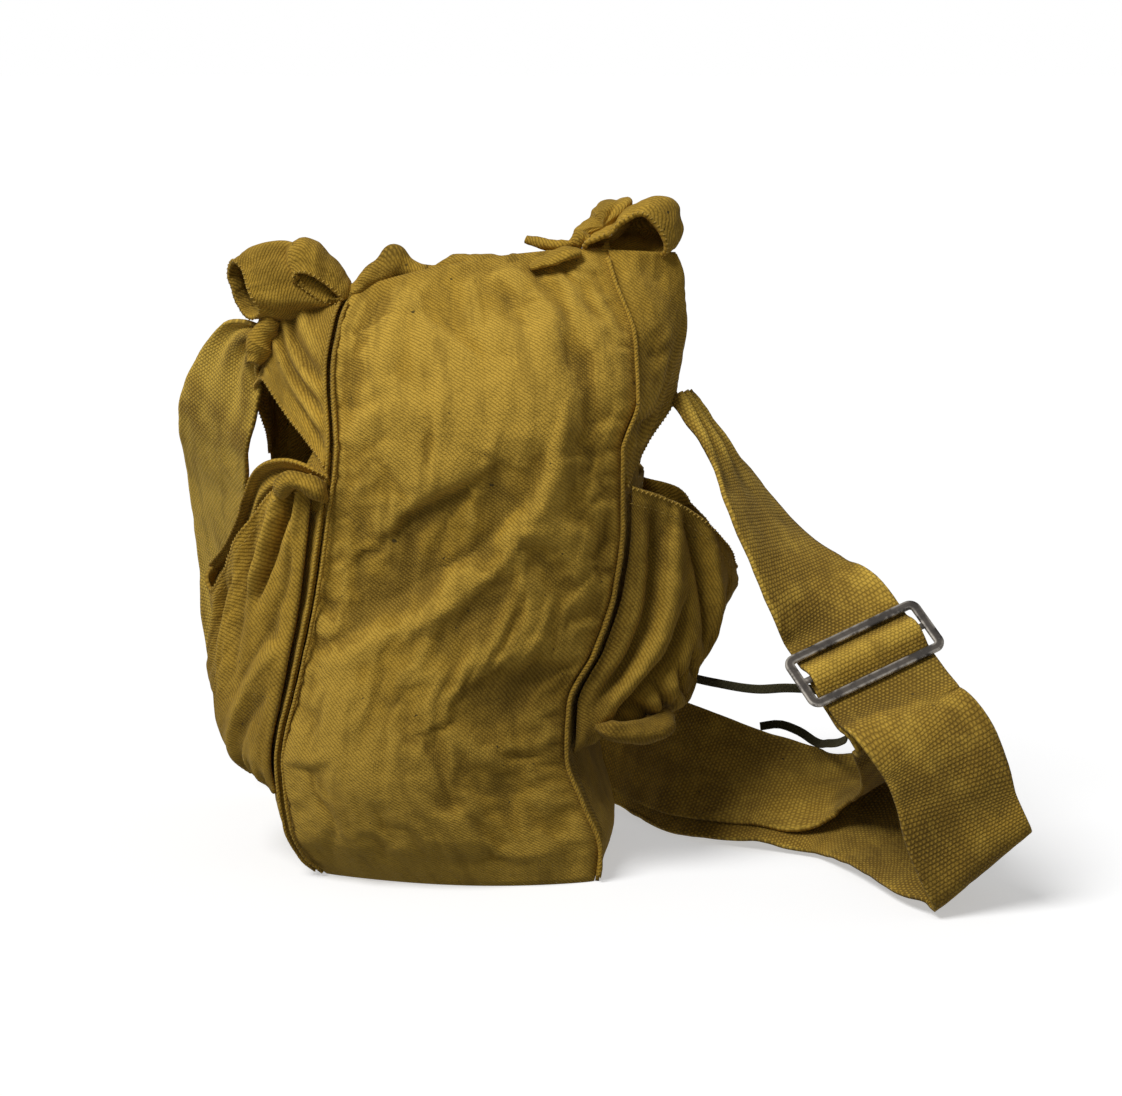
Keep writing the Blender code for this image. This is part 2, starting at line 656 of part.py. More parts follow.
def laid_along(stations):
    """Stations of a second layer that lies on the first one, a little higher up."""
    centre, edge, normal, share = ribbon_frames(stations, 1)
    spots = centre - normal * RETURN_LIFT + edge * RETURN_SHIFT
    return [(*spots[k], tuple(edge[k]), share[k]) for k in range(len(stations))]


def strap_place(x, y, z):
    """A place on the strap's way, from its table's shares to metres."""
    side, reach = (1.0, RIGHT_EAR_REACH) if x > 0 else (-1.0, LEFT_EAR_REACH)
    share = abs(x)
    across = (min(share, 1.0) * BAG_WIDTH / 2 + min(max(share - 1.0, 0.0), 1.0) * reach
              + max(share - 2.0, 0.0) * STRAP_REACH)
    return (side * across, y * BAG_DEPTH, z * BAG_HEIGHT)


def scaled(stations):
    """Strap stations from shares to metres."""
    return [(*strap_place(*row[:3]), *row[3:]) for row in stations]


def buckle_frame():
    """Middle of the slide buckle, its long way, its way down and its face."""
    middle = np.array(strap_place(*BUCKLE_PLACE))
    down = unit(BUCKLE_DOWN)
    along = np.array(BUCKLE_ALONG)
    along = unit(along - along.dot(down) * down)
    return middle, along, down, np.cross(down, along)


def buckle_stations(rows):
    """Strap stations through the buckle, from places down it and steps over its plate."""
    middle, along, down, face = buckle_frame()
    step = 0.5 * (BUCKLE_PLATE + WEBBING) + 1.5 * GAP
    made = []
    for place, height in rows:
        spot = middle + down * place * BUCKLE_HEIGHT + face * height * step
        made.append((*spot, tuple(along), 1.0))
    return made


def make_buckle():
    """Slide buckle: a flat steel frame with rounded corners and a middle bar."""
    middle, along, down, face = buckle_frame()
    corner = BUCKLE_BAR
    buckle_length = WEBBING_WIDTH + 2.0 * (BUCKLE_PLAY + BUCKLE_BAR)
    outer, hole = [], []
    for quarter in range(4):
        sign_x = (1, -1, -1, 1)[quarter]
        sign_y = (1, 1, -1, -1)[quarter]
        for step in range(4):
            angle = math.radians(90 * quarter + 30 * step)
            turn = np.array((math.cos(angle), math.sin(angle)))
            centre = np.array((sign_x * (buckle_length / 2 - corner),
                               sign_y * (BUCKLE_HEIGHT / 2 - corner)))
            outer.append(centre + corner * turn)
            hole.append(centre + BUCKLE_CORNER * turn)
    outer, hole = np.array(outer), np.array(hole)
    half = 0.5 * BUCKLE_PLATE
    top = np.stack([outer, hole]) @ np.array([along, down]) + middle
    ring_top = top + face * half
    ring_low = top - face * half
    frame = add_wall("slide_buckle", ring_top, ring_low, "steel", ring=True)
    length = (buckle_length - BUCKLE_BAR) / 2
    bar = []
    for end in (-1, 1):
        for a, b in ((-1, -1), (1, -1), (1, 1), (-1, 1)):
            bar.append(middle + along * end * length + down * a * CENTRE_BAR / 2
                       + face * b * half * 0.8)
    faces = [(0, 1, 2, 3), (7, 6, 5, 4), (0, 4, 5, 1), (1, 5, 6, 2), (2, 6, 7, 3), (3, 7, 4, 0)]
    rod = add_solid("centre_bar", bar, faces, "steel", smooth=False)
    join(frame, rod)
    return frame


def join(thing, other):
    """Fuses a second closed piece into the first and drops the second."""
    cut = thing.modifiers.new("fuse", "BOOLEAN")
    cut.operation = "UNION"
    cut.object = other
    bpy.context.view_layer.update()
    graph = bpy.context.evaluated_depsgraph_get()
    mesh = bpy.data.meshes.new_from_object(thing.evaluated_get(graph))
    thing.modifiers.clear()
    thing.data = mesh
    bpy.data.objects.remove(other, do_unlink=True)


def add_loop(name, sections, length, stuff="canvas"):
    """Open loop of folded webbing: a flattened sleeve through its sections.

    A section is its centre in metres, the way of its longer half, its two halves
    as shares of the loop's length, and the way of its shorter half.
    """
    count, sides = 5, 12
    place = np.linspace(0.0, 1.0, len(sections))
    rows = [(place[k], *row[0], *unit(row[1]), row[2], row[3], *unit(row[4]))
            for k, row in enumerate(sections)]
    read = read_rows(rows, np.linspace(0.0, 1.0, count), rounded=True)
    angles = np.linspace(0.0, 2.0 * math.pi, sides, endpoint=False)
    outer, inner = [], []
    for row in read:
        centre, long_way, short_way = row[:3], unit(row[3:6]), unit(row[8:11])
        long_half, short_half = row[6] * length, row[7] * length
        for ring, less in ((outer, 0.0), (inner, WEBBING)):
            ring.append([centre + (long_half - less) * math.cos(a) * long_way
                         + (short_half - less) * math.sin(a) * short_way for a in angles])
    return add_wall(name, np.array(outer), np.array(inner), stuff, ring=True)


def scaled_loop(sections):
    """Loop sections with their centres turned from shares to metres."""
    size = np.array((BAG_WIDTH, BAG_DEPTH, BAG_HEIGHT))
    return [(tuple(np.array(row[0]) * size), *row[1:]) for row in sections]


def make_lump(name, row, stuff="webbing"):
    """Small knotted lump: a rounded body with three halves."""
    place = strap_place(*row[0])
    halves = KNOT_RADIUS * np.array(row[1])
    mesh = bpy.data.meshes.new(name)
    thing = bpy.data.objects.new(name, mesh)
    bpy.context.scene.collection.objects.link(thing)
    lump = bmesh.new()
    bmesh.ops.create_icosphere(lump, subdivisions=2, radius=1.0)
    for vertex in lump.verts:
        vertex.co = [place[k] + vertex.co[k] * halves[k] for k in range(3)]
    lump.to_mesh(mesh)
    lump.free()
    mesh.shade_smooth()
    mesh.materials.append(material(stuff))
    return thing


def make_tail(name, route, flatness):
    """Loose canvas end of the tie, thicker in its middle."""
    spots = np.array(route) * (BAG_WIDTH, BAG_DEPTH, BAG_HEIGHT)
    rows = [(k, *spots[k]) for k in range(len(spots))]
    path = read_rows(rows, np.linspace(0.0, len(spots) - 1.0, 9), rounded=True)
    radii = TAIL_RADIUS * np.array((0.6, 0.9, 1.0, 1.1, 1.2, 1.2, 1.1, 0.9, 0.6))
    return add_tube(name, path, radii, 8, "canvas", squash=flatness)


def make_tape():
    """Narrow tie tape, as a tube along its route."""
    spots = np.array([strap_place(*row) for row in TAPE_ROUTE])
    legs = np.linalg.norm(np.diff(spots, axis=0), axis=1)
    place = np.concatenate([[0.0], np.cumsum(legs)])
    rows = [(place[k], *spots[k]) for k in range(len(spots))]
    count = int(place[-1] / (2.5 * TAPE_WIDTH))
    route = read_rows(rows, np.linspace(0.0, place[-1], count), rounded=True)
    curve = bpy.data.curves.new("tie_tape", "CURVE")
    curve.dimensions = "3D"
    curve.bevel_depth = TAPE_WIDTH / 2
    curve.bevel_resolution = 2
    curve.use_fill_caps = True
    line = curve.splines.new("POLY")
    line.points.add(count - 1)
    for k in range(count):
        line.points[k].co = (*route[k], 1.0)
    thing = bpy.data.objects.new("tie_tape", curve)
    bpy.context.scene.collection.objects.link(thing)
    curve.materials.append(material("tape"))
    return thing


clear_scene()
make_main_panel()
make_gusset("left_gusset", -1, LEFT_GUSSET_TOP)
make_gusset("right_gusset", 1, RIGHT_GUSSET_TOP)
make_ear("left_ear", -1, LEFT_EAR, LEFT_EAR_SWELL, LEFT_EAR_REACH)
make_ear("right_ear", 1, RIGHT_EAR, RIGHT_EAR_SWELL, RIGHT_EAR_REACH)
make_pocket("left_pocket", -1, LEFT_RIM, LEFT_BELLY, LEFT_POCKET_BULGE)
make_pocket("right_pocket", 1, RIGHT_RIM, RIGHT_BELLY, RIGHT_POCKET_BULGE)
make_welt("front_left_welt", -1, True, FRONT_WELT_TOP, 26)
make_welt("front_right_welt", 1, True, FRONT_WELT_TOP, 26)
make_welt("back_left_welt", -1, False, BACK_LEFT_WELT_TOP, 16)
make_welt("back_right_welt", 1, False, BACK_RIGHT_WELT_TOP, 16)
make_mouth_roll()
add_loop("left_bow", scaled_loop(LEFT_BOW), LEFT_BOW_LENGTH)
add_loop("left_bow_fold", scaled_loop(LEFT_BOW_FOLD), LEFT_BOW_LENGTH)
add_loop("right_bow", scaled_loop(RIGHT_BOW), RIGHT_BOW_LENGTH)
add_loop("right_bow_fold", scaled_loop(RIGHT_BOW_FOLD), RIGHT_BOW_LENGTH)
make_lump("left_knot", LEFT_KNOT)
make_lump("right_knot", RIGHT_KNOT)
make_tail("upper_tail", UPPER_TAIL, UPPER_TAIL_SQUASH)
make_tail("lower_tail", LOWER_TAIL, LOWER_TAIL_SQUASH)
fold = scaled(STRAP_FOLD)
add_ribbon("strap_long", scaled(STRAP_DOWN) + buckle_stations(THROUGH_BUCKLE) + fold)
laid = laid_along(fold)[RETURN_LAID[0]:RETURN_LAID[1] + 1]
add_ribbon("strap_return", buckle_stations(BEHIND_BUCKLE) + scaled(RETURN_DROP) + laid)
make_buckle()
make_tape()
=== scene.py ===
import math

import bmesh
import bpy
import numpy as np
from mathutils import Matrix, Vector


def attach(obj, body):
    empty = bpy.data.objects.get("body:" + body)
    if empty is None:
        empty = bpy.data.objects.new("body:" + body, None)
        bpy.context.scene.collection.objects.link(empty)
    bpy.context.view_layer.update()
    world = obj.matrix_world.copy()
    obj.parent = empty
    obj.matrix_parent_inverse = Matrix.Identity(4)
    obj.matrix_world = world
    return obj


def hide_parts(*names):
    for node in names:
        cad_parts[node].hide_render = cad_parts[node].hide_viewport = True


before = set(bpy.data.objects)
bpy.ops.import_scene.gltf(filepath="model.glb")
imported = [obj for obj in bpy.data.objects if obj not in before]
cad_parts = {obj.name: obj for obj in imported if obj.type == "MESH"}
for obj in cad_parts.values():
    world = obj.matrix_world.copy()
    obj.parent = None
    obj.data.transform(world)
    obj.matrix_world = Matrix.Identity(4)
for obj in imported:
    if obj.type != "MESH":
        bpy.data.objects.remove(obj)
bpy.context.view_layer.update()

# Camera. It stands low in front of the bag and looks a little down on it, as a
# product picture is taken, with a long lens.
aim = Vector((0.0403, 0.0, 0.1343))
camera_distance = 1.2
camera_rise = math.radians(10.0)
lens = bpy.data.cameras.new("picture_camera")
lens.lens = 91.7
lens.sensor_width = 36.0
camera = bpy.data.objects.new("picture_camera", lens)
camera.location = aim + camera_distance * Vector((0.0, -math.cos(camera_rise), math.sin(camera_rise)))
camera.rotation_euler = (math.pi / 2 - camera_rise, 0.0, 0.0)
bpy.context.scene.collection.objects.link(camera)
bpy.context.scene.camera = camera


# Canvas. Heavy cotton twill, olive-brown and faded: slanted wales about 1.2 mm
# apart, each broken into the bumps of its yarns, with lint and specks; its folds get
# painted shade, and their ridges are worn and painted lighter.
def calc(tree, operation, *values):
    """One Math node: sockets among the values are wired, numbers are set."""
    step = tree.nodes.new("ShaderNodeMath")
    step.operation = operation
    for socket, value in zip(step.inputs, values):
        if isinstance(value, (int, float)):
            socket.default_value = value
        else:
            tree.links.new(value, socket)
    return step.outputs[0]


def noise(tree, place, scale, detail=2.0, roughness=0.5):
    """Soft random field over the given coordinates, from 0 to 1."""
    field = tree.nodes.new("ShaderNodeTexNoise")
    field.inputs["Scale"].default_value = scale
    field.inputs["Detail"].default_value = detail
    field.inputs["Roughness"].default_value = roughness
    tree.links.new(place, field.inputs["Vector"])
    return field.outputs["Fac"]


def between(tree, value, low, high):
    """Smooth step of a value from 0 at low to 1 at high, whichever of them is greater."""
    step = tree.nodes.new("ShaderNodeMapRange")
    step.interpolation_type = "SMOOTHSTEP"
    step.inputs["From Min"].default_value = low
    step.inputs["From Max"].default_value = high
    tree.links.new(value, step.inputs["Value"])
    return step.outputs["Result"]


def mixed(tree, share, first, second):
    """Colour between two colours or sockets."""
    node = tree.nodes.new("ShaderNodeMix")
    node.data_type = "RGBA"
    tree.links.new(share, node.inputs[0])
    for socket, value in ((node.inputs[6], first), (node.inputs[7], second)):
        if isinstance(value, tuple):
            socket.default_value = (*value, 1.0)
        else:
            tree.links.new(value, socket)
    return node.outputs[2]


def dimmed(colour, amount):
    """A colour made darker, or lighter where the amount is above one."""
    return tuple(min(1.0, amount * value) for value in colour)


def bumped(tree, height, distance, strength=1.0, under=None):
    """Bump from a height, on top of another bump where one is given."""
    bump = tree.nodes.new("ShaderNodeBump")
    bump.inputs["Strength"].default_value = strength
    bump.inputs["Distance"].default_value = distance
    tree.links.new(height, bump.inputs["Height"])
    if under is not None:
        tree.links.new(under, bump.inputs["Normal"])
    return bump.outputs[0]


def swayed(tree, place, scale, amount, across, along):
    """Two coordinates, each moved a little by its own random field."""
    field = tree.nodes.new("ShaderNodeTexNoise")
    field.inputs["Scale"].default_value = scale
    field.inputs["Detail"].default_value = 1.0
    tree.links.new(place, field.inputs["Vector"])
    shift = tree.nodes.new("ShaderNodeSeparateXYZ")
    tree.links.new(field.outputs["Color"], shift.inputs[0])
    return (calc(tree, "MULTIPLY_ADD", shift.outputs[0], amount, across),
            calc(tree, "MULTIPLY_ADD", shift.outputs[1], amount, along))


def cloth_coordinates(tree, wander, shake=0.0009):
    """The piece's own UV map in metres, with yarns that wander and shake a little."""
    uv = tree.nodes.new("ShaderNodeUVMap")
    uv.uv_map = "UVMap"
    place = uv.outputs[0]
    split = tree.nodes.new("ShaderNodeSeparateXYZ")
    tree.links.new(place, split.inputs[0])
    across, along = swayed(tree, place, 160.0, wander, split.outputs[0], split.outputs[1])
    across, along = swayed(tree, place, 900.0, shake, across, along)
    return place, across, along


def twill(tree, across, along, pitch, yarn, angle):
    """Height of a twill: round wales on a slant, cut across into staggered yarn bumps."""
    turn = math.radians(angle)
    wale = calc(tree, "MULTIPLY_ADD", across, math.cos(turn) / pitch,
                calc(tree, "MULTIPLY", along, math.sin(turn) / pitch))
    run = calc(tree, "MULTIPLY_ADD", across, -math.sin(turn) / yarn,
               calc(tree, "MULTIPLY", along, math.cos(turn) / yarn))
    row = calc(tree, "FLOOR", wale)
    shifted = calc(tree, "MULTIPLY_ADD", row, 0.37, run)
    crest = calc(tree, "ABSOLUTE", calc(tree, "SINE", calc(tree, "MULTIPLY", wale, math.pi)))
    bump = calc(tree, "ABSOLUTE", calc(tree, "SINE", calc(tree, "MULTIPLY", shifted, math.pi)))
    crest = calc(tree, "POWER", crest, 0.7)
    bump = calc(tree, "MULTIPLY_ADD", calc(tree, "POWER", bump, 0.6), 0.30, 0.70)
    return calc(tree, "MULTIPLY", crest, bump)


def basket(tree, across, along, pitch):
    """Height of a coarse webbing: rows of seed-like bumps, each row half a step along."""
    row = calc(tree, "MULTIPLY", along, 1.0 / pitch)
    odd = calc(tree, "MULTIPLY", calc(tree, "FLOOR", row), 0.5)
    seed = calc(tree, "MULTIPLY_ADD", across, 1.0 / (1.15 * pitch), odd)
    one = calc(tree, "ABSOLUTE", calc(tree, "SINE", calc(tree, "MULTIPLY", seed, math.pi)))
    other = calc(tree, "ABSOLUTE", calc(tree, "SINE", calc(tree, "MULTIPLY", row, math.pi)))
    return calc(tree, "POWER", calc(tree, "MULTIPLY", one, other), 0.5)


def cloth_material(name, faded, worn_and_lit, dark, weave, depth, crumpled=1.0, low_darkening=0.34):
    """Woven cloth: colour from fading, wear, lint, painted shade in folds and weave grooves, worn and painted
    lighter ridges and yarn tops, and darker towards the bottom, with a bumped weave.
    """
    made = bpy.data.materials.new(name)
    made.use_nodes = True
    tree = made.node_tree
    shader = tree.nodes["Principled BSDF"]
    uv, across, along = cloth_coordinates(tree, 0.0011 if weave == "twill" else 0.0008)
    if weave == "twill":
        height = twill(tree, across, along, 0.0012, 0.00135, 52.0)
    else:
        height = basket(tree, across, along, 0.00155)
    place = tree.nodes.new("ShaderNodeTexCoord").outputs["Object"]
    upward = tree.nodes.new("ShaderNodeSeparateXYZ")
    tree.links.new(place, upward.inputs[0])
    drawn = tree.nodes.new("ShaderNodeMapping")
    drawn.inputs["Scale"].default_value = (1.0, 0.28, 1.0)
    tree.links.new(uv, drawn.inputs["Vector"])
    # The fold attribute: below nought painted shade, above nought wear and painted light.
    fold = tree.nodes.new("ShaderNodeAttribute")
    fold.attribute_name = "fold"
    ridge_wear_and_light = fold.outputs["Fac"]
    painted_shade = calc(tree, "MULTIPLY", ridge_wear_and_light, -1.0)
    clouds = noise(tree, place, 22.0, 4.0, 0.60)
    patches = noise(tree, place, 70.0, 3.0, 0.65)
    slubs = noise(tree, uv, 1500.0, 2.0, 0.7)
    threads = noise(tree, uv, 420.0, 3.0, 0.7)
    stains = noise(tree, drawn.outputs[0], 95.0, 4.0, 0.6)
    veins = noise(tree, drawn.outputs[0], 55.0, 3.0, 0.55)
    off_vein = calc(tree, "ABSOLUTE", calc(tree, "SUBTRACT", veins, 0.5))
    # Height over the floor, a little mottled: the cloth is darker towards the bottom.
    mottled_height = calc(tree, "MULTIPLY_ADD", clouds, 0.06, upward.outputs[2])
    specks = noise(tree, place, 330.0, 1.0, 0.5)
    # Painted shade in the weave's grooves; its yarn tops worn and painted lighter.
    # Tints: what each follows, where it starts, where it is full, strength, colour
    tints = ((patches, 0.44, 0.70, 0.45, worn_and_lit),
             (ridge_wear_and_light, 0.15, 1.0, 1.0, worn_and_lit),
             (painted_shade, 0.12, 1.0, 0.62, dimmed(dark, 0.42)),
             (height, 0.80, 0.10, 0.46, dimmed(dark, 0.38)),
             (height, 0.72, 1.0, 0.30, dimmed(worn_and_lit, 1.35)),
             (threads, 0.50, 0.75, 0.30, dimmed(dark, 0.60)),
             (stains, 0.50, 0.66, 0.40, dimmed(dark, 0.72)),
             (off_vein, 0.022, 0.0, 0.12, worn_and_lit),
             (mottled_height, 0.23, 0.07, low_darkening, dimmed(dark, 0.50)),
             (slubs, 0.735, 0.80, 0.55, (0.52, 0.42, 0.20)),
             (specks, 0.77, 0.80, 0.80, (0.035, 0.030, 0.012)))
    colour = mixed(tree, between(tree, clouds, 0.38, 0.62), dark, faded)
    for field, low, high, amount, other in tints:
        share = calc(tree, "MULTIPLY", between(tree, field, low, high), amount)
        colour = mixed(tree, share, colour, other)
    tree.links.new(colour, shader.inputs["Base Color"])
    tree.links.new(calc(tree, "MULTIPLY_ADD", height, -0.10, 0.97), shader.inputs["Roughness"])
    shader.inputs["Specular IOR Level"].default_value = 0.22
    shader.inputs["Sheen Weight"].default_value = 0.12
    shader.inputs["Sheen Roughness"].default_value = 0.45
    shader.inputs["Sheen Tint"].default_value = (0.80, 0.66, 0.34, 1.0)
    fuzz = calc(tree, "MULTIPLY_ADD", slubs, 0.35, height)
    fuzz = calc(tree, "MULTIPLY_ADD", threads, 0.35, fuzz)
    ridge = calc(tree, "MULTIPLY", between(tree, off_vein, 0.022, 0.0), 0.07)
    lumps = calc(tree, "MULTIPLY_ADD", noise(tree, uv, 190.0, 3.0, 0.6), 0.9, ridge)
    creases = bumped(tree, lumps, 0.0007 * crumpled)
    tree.links.new(bumped(tree, fuzz, depth, under=creases), shader.inputs["Normal"])
    return made


canvas = cloth_material("olive_twill", (0.520, 0.308, 0.032), (0.660, 0.410, 0.056), (0.320, 0.186, 0.021),
                        "twill", 0.00022)


# Tie tape. A thin dark cotton tape, 4 mm wide, that comes out from behind the
# right pocket, passes under the slide buckle and lies over the strap's layers.
def read_rows(rows, at, rounded=False):
    """Smooth curve through rows whose first column is the place; flat rows stay flat.

    With rounded set the curve swings freely through the rows, as a strap does.
    """
    table = np.asarray(rows, float)
    place, value = table[:, 0], table[:, 1:]
    step = np.diff(place)
    slope = np.diff(value, axis=0) / step[:, None]
    tangent = np.empty_like(value)
    tangent[0], tangent[-1] = slope[0], slope[-1]
    before, after = slope[:-1], slope[1:]
    if rounded:
        share = (step[1:] / (step[:-1] + step[1:]))[:, None]
        tangent[1:-1] = before * share + after * (1.0 - share)
    else:
        same = before * after > 0.0
        total = np.where(same, before + after, 1.0)
        tangent[1:-1] = np.where(same, 2.0 * before * after / total, 0.0)
    at = np.clip(np.asarray(at, float), place[0], place[-1])
    k = np.clip(np.searchsorted(place, at, side="right") - 1, 0, len(step) - 1)
    width = step[k][..., None]
    t = ((at - place[k]) / step[k])[..., None]
    h00 = 2 * t**3 - 3 * t**2 + 1
    h10 = t**3 - 2 * t**2 + t
    h01 = 3 * t**2 - 2 * t**3
    h11 = t**3 - t**2
    return (h00 * value[k] + h10 * width * tangent[k]
            + h01 * value[k + 1] + h11 * width * tangent[k + 1])


def unit(vectors):
    """Vectors brought to a length of one."""
    vectors = np.asarray(vectors, float)
    return vectors / np.maximum(np.linalg.norm(vectors, axis=-1, keepdims=True), 1e-12)


def running(lengths):
    """Running total of lengths, from nought."""
    return np.concatenate([[0.0], np.cumsum(lengths)])


def smooth_path(spots, count, closed=False):
    """Evenly spaced points on a smooth curve through the spots, a ring where closed."""
    spots = np.asarray(spots, float)
    if closed:
        spots = np.concatenate([spots[-3:], spots, spots[:3]])
    place = running(np.linalg.norm(np.diff(spots, axis=0), axis=1))
    first, last, finer = (3, -3, 16) if closed else (0, -1, 12)
    spread = np.linspace(place[first], place[last], finer * count)
    fine = read_rows(np.column_stack([place, spots]), spread, rounded=True)
    steps = running(np.linalg.norm(np.diff(fine, axis=0), axis=1))
    at = np.linspace(0.0, steps[-1], count, endpoint=not closed)
    return np.stack([np.interp(at, steps, fine[:, k]) for k in range(3)], axis=-1)


def grid_mesh(name, points, finish, around=False, capped=False, fold=None, uv=None):
    """Mesh of a grid of points with a UV map in metres and a fold attribute, which holds the cloth's painted
    shade, painted light and wear, and the steel's bare edges.

    Rows run down and columns to the right as seen from outside. With around set
    the columns close to a ring, and capped closes the two end rows.
    """
    rows, columns = points.shape[:2]
    flat = points.reshape(-1, 3)
    index = np.arange(rows * columns).reshape(rows, columns)
    last = columns if around else columns - 1
    nxt = np.roll(index, -1, axis=1)
    quads = np.stack([index[:-1, :last], index[1:, :last], nxt[1:, :last], nxt[:-1, :last]], axis=-1)
    faces = quads.reshape(-1, 4).tolist()
    mesh = bpy.data.meshes.new(name)
    caps = [index[0].tolist(), index[-1][::-1].tolist()] if capped else []
    mesh.from_pydata(flat.tolist(), [], faces + caps)
    if uv is None:
        wide = np.linalg.norm(np.diff(points, axis=1), axis=-1).mean(axis=0)
        tall = np.linalg.norm(np.diff(points, axis=0), axis=-1).mean(axis=1)
        u = running(wide)
        if around:
            u = np.append(u, u[-1] + np.linalg.norm(points[:, 0] - points[:, -1], axis=-1).mean())
        v = -running(tall)
        uv_u = np.broadcast_to(u[None, :], (rows, len(u)))
        uv_v = np.broadcast_to(v[:, None], (rows, len(u)))
    else:
        uv_u, uv_v = uv[..., 0], uv[..., 1]
    i, j = np.meshgrid(np.arange(rows - 1), np.arange(last), indexing="ij")
    corners = []
    for di, dj in ((0, 0), (1, 0), (1, 1), (0, 1)):
        corners.append(np.stack([uv_u[i + di, j + dj], uv_v[i + di, j + dj]], axis=-1))
    loops = np.stack(corners, axis=2).reshape(-1, 2)
    if capped:
        ends = np.zeros((2 * columns, 2))
        ends[:, 0] = 0.0005 * np.arange(2 * columns)
        loops = np.concatenate([loops, ends])
    layer = mesh.uv_layers.new(name="UVMap")
    layer.data.foreach_set("uv", loops.astype(np.float32).ravel())
    held = mesh.attributes.new("fold", "FLOAT", "POINT")
    values = np.zeros(rows * columns) if fold is None else np.asarray(fold, float).reshape(-1)
    held.data.foreach_set("value", values.astype(np.float32))
    mesh.materials.append(finish)
    mesh.update()
    mesh.shade_smooth()
    thing = bpy.data.objects.new(name, mesh)
    bpy.context.scene.collection.objects.link(thing)
    return thing


def tube_grid(path, across, upward, profile, sizes):
    """Rings of a profile (points as shares) swept along a path, with a size for each row."""
    sizes = np.asarray(sizes, float).reshape(len(path), -1)
    if sizes.shape[1] == 1:
        sizes = np.repeat(sizes, 2, axis=1)
    return (path[:, None]
            + across[:, None] * (profile[None, :, 0:1] * sizes[:, None, 0:1])
            + upward[:, None] * (profile[None, :, 1:2] * sizes[:, None, 1:2]))


def path_frame(path, up=(0.0, 0.0, 1.0)):
    """Directions across and upwards of a path that keep to the given up side."""
    ahead = unit(np.gradient(path, axis=0))
    up = np.broadcast_to(np.asarray(up, float), path.shape)
    across = unit(np.cross(ahead, up))
    return across, np.cross(across, ahead)


def ring_profile(sides, flatness=1.0):
    """Points of a round profile, with its height as a share of its width."""
    turn = -np.linspace(0.0, 2.0 * math.pi, sides, endpoint=False)
    return np.stack([np.cos(turn), flatness * np.sin(turn)], axis=-1)


def placed(piece, node):
    """Holds a finished piece to the bag, in place of its CAD node."""
    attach(piece, "root")
    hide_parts(node)


tape_width = 0.004
tape_thickness = 0.0008
tape_route = np.array([
    (0.0560, 0.0576, 0.0750), (0.0680, 0.0531, 0.0740), (0.0800, 0.0450, 0.0730),
    (0.0920, 0.0306, 0.0730), (0.1060, 0.0036, 0.0755), (0.1220, -0.0216, 0.0785),
    (0.1360, -0.0396, 0.0830), (0.1450, -0.0432, 0.0830), (0.1550, -0.0360, 0.0730),
    (0.1600, -0.0207, 0.0600), (0.1600, 0.0072, 0.0490), (0.1570, 0.0324, 0.0420),
    (0.1530, 0.0540, 0.0375), (0.1460, 0.0648, 0.0400), (0.1380, 0.0702, 0.0415),
    (0.1300, 0.0720, 0.0400)])
tape_path = smooth_path(tape_route, 90)
tape_cloth = cloth_material("dark_tape", (0.060, 0.055, 0.020), (0.100, 0.088, 0.034), (0.030, 0.027, 0.010),
                            "basket", 0.00012)
tape_turn = np.linspace(0.0, 0.55, len(tape_path))[:, None]
tape_across, tape_up = path_frame(tape_path)
tape_edge = tape_up * np.cos(tape_turn) + tape_across * np.sin(tape_turn)
tape_face = unit(np.cross(tape_edge, np.gradient(tape_path, axis=0)))
tape_profile = np.array([(1.0, 0.0), (0.93, -1.0), (0.5, -1.0), (0.0, -1.0), (-0.5, -1.0), (-0.93, -1.0),
                         (-1.0, 0.0), (-0.93, 1.0), (-0.5, 1.0), (0.0, 1.0), (0.5, 1.0), (0.93, 1.0)])
tape_sizes = np.tile((tape_width / 2, tape_thickness / 2), (len(tape_path), 1))
tape_grid = tube_grid(tape_path, tape_edge, tape_face, tape_profile, tape_sizes)
tie_tape = grid_mesh("tie_tape_cloth", tape_grid, tape_cloth, around=True, capped=True)
placed(tie_tape, "tie_tape")


# Floor and light. A white seamless floor and backdrop, with one broad sun from the
# upper left in front and a weak even light from all round.
floor_mesh = bpy.data.meshes.new("studio_floor")
floor_mesh.from_pydata([(-30, -30, 0), (30, -30, 0), (30, 30, 0), (-30, 30, 0)], [], [(0, 1, 2, 3)])
floor = bpy.data.objects.new("studio_floor", floor_mesh)
bpy.context.scene.collection.objects.link(floor)
floor_finish = bpy.data.materials.new("white_floor")
floor_finish.use_nodes = True
floor_shader = floor_finish.node_tree.nodes["Principled BSDF"]
floor_shader.inputs["Base Color"].default_value = (0.75, 0.75, 0.75, 1.0)
floor_shader.inputs["Emission Color"].default_value = (1.0, 1.0, 1.0, 1.0)
floor_shader.inputs["Emission Strength"].default_value = 0.44
floor_shader.inputs["Roughness"].default_value = 1.0
floor_shader.inputs["Specular IOR Level"].default_value = 0.0
floor_mesh.materials.append(floor_finish)
floor.visible_diffuse = False
world = bpy.data.worlds.new("studio")
bpy.context.scene.world = world
world.use_nodes = True
sky = world.node_tree
sky.nodes["Background"].inputs["Strength"].default_value = 0.18
backdrop = sky.nodes.new("ShaderNodeBackground")
backdrop.inputs["Strength"].default_value = 1.0
backdrop.inputs["Color"].default_value = (1.0, 1.0, 1.0, 1.0)
sky.nodes["Background"].inputs["Color"].default_value = (1.0, 1.0, 1.0, 1.0)
seen = sky.nodes.new("ShaderNodeLightPath")
either = sky.nodes.new("ShaderNodeMixShader")
sky.links.new(seen.outputs["Is Camera Ray"], either.inputs[0])
sky.links.new(sky.nodes["Background"].outputs[0], either.inputs[1])
sky.links.new(backdrop.outputs[0], either.inputs[2])
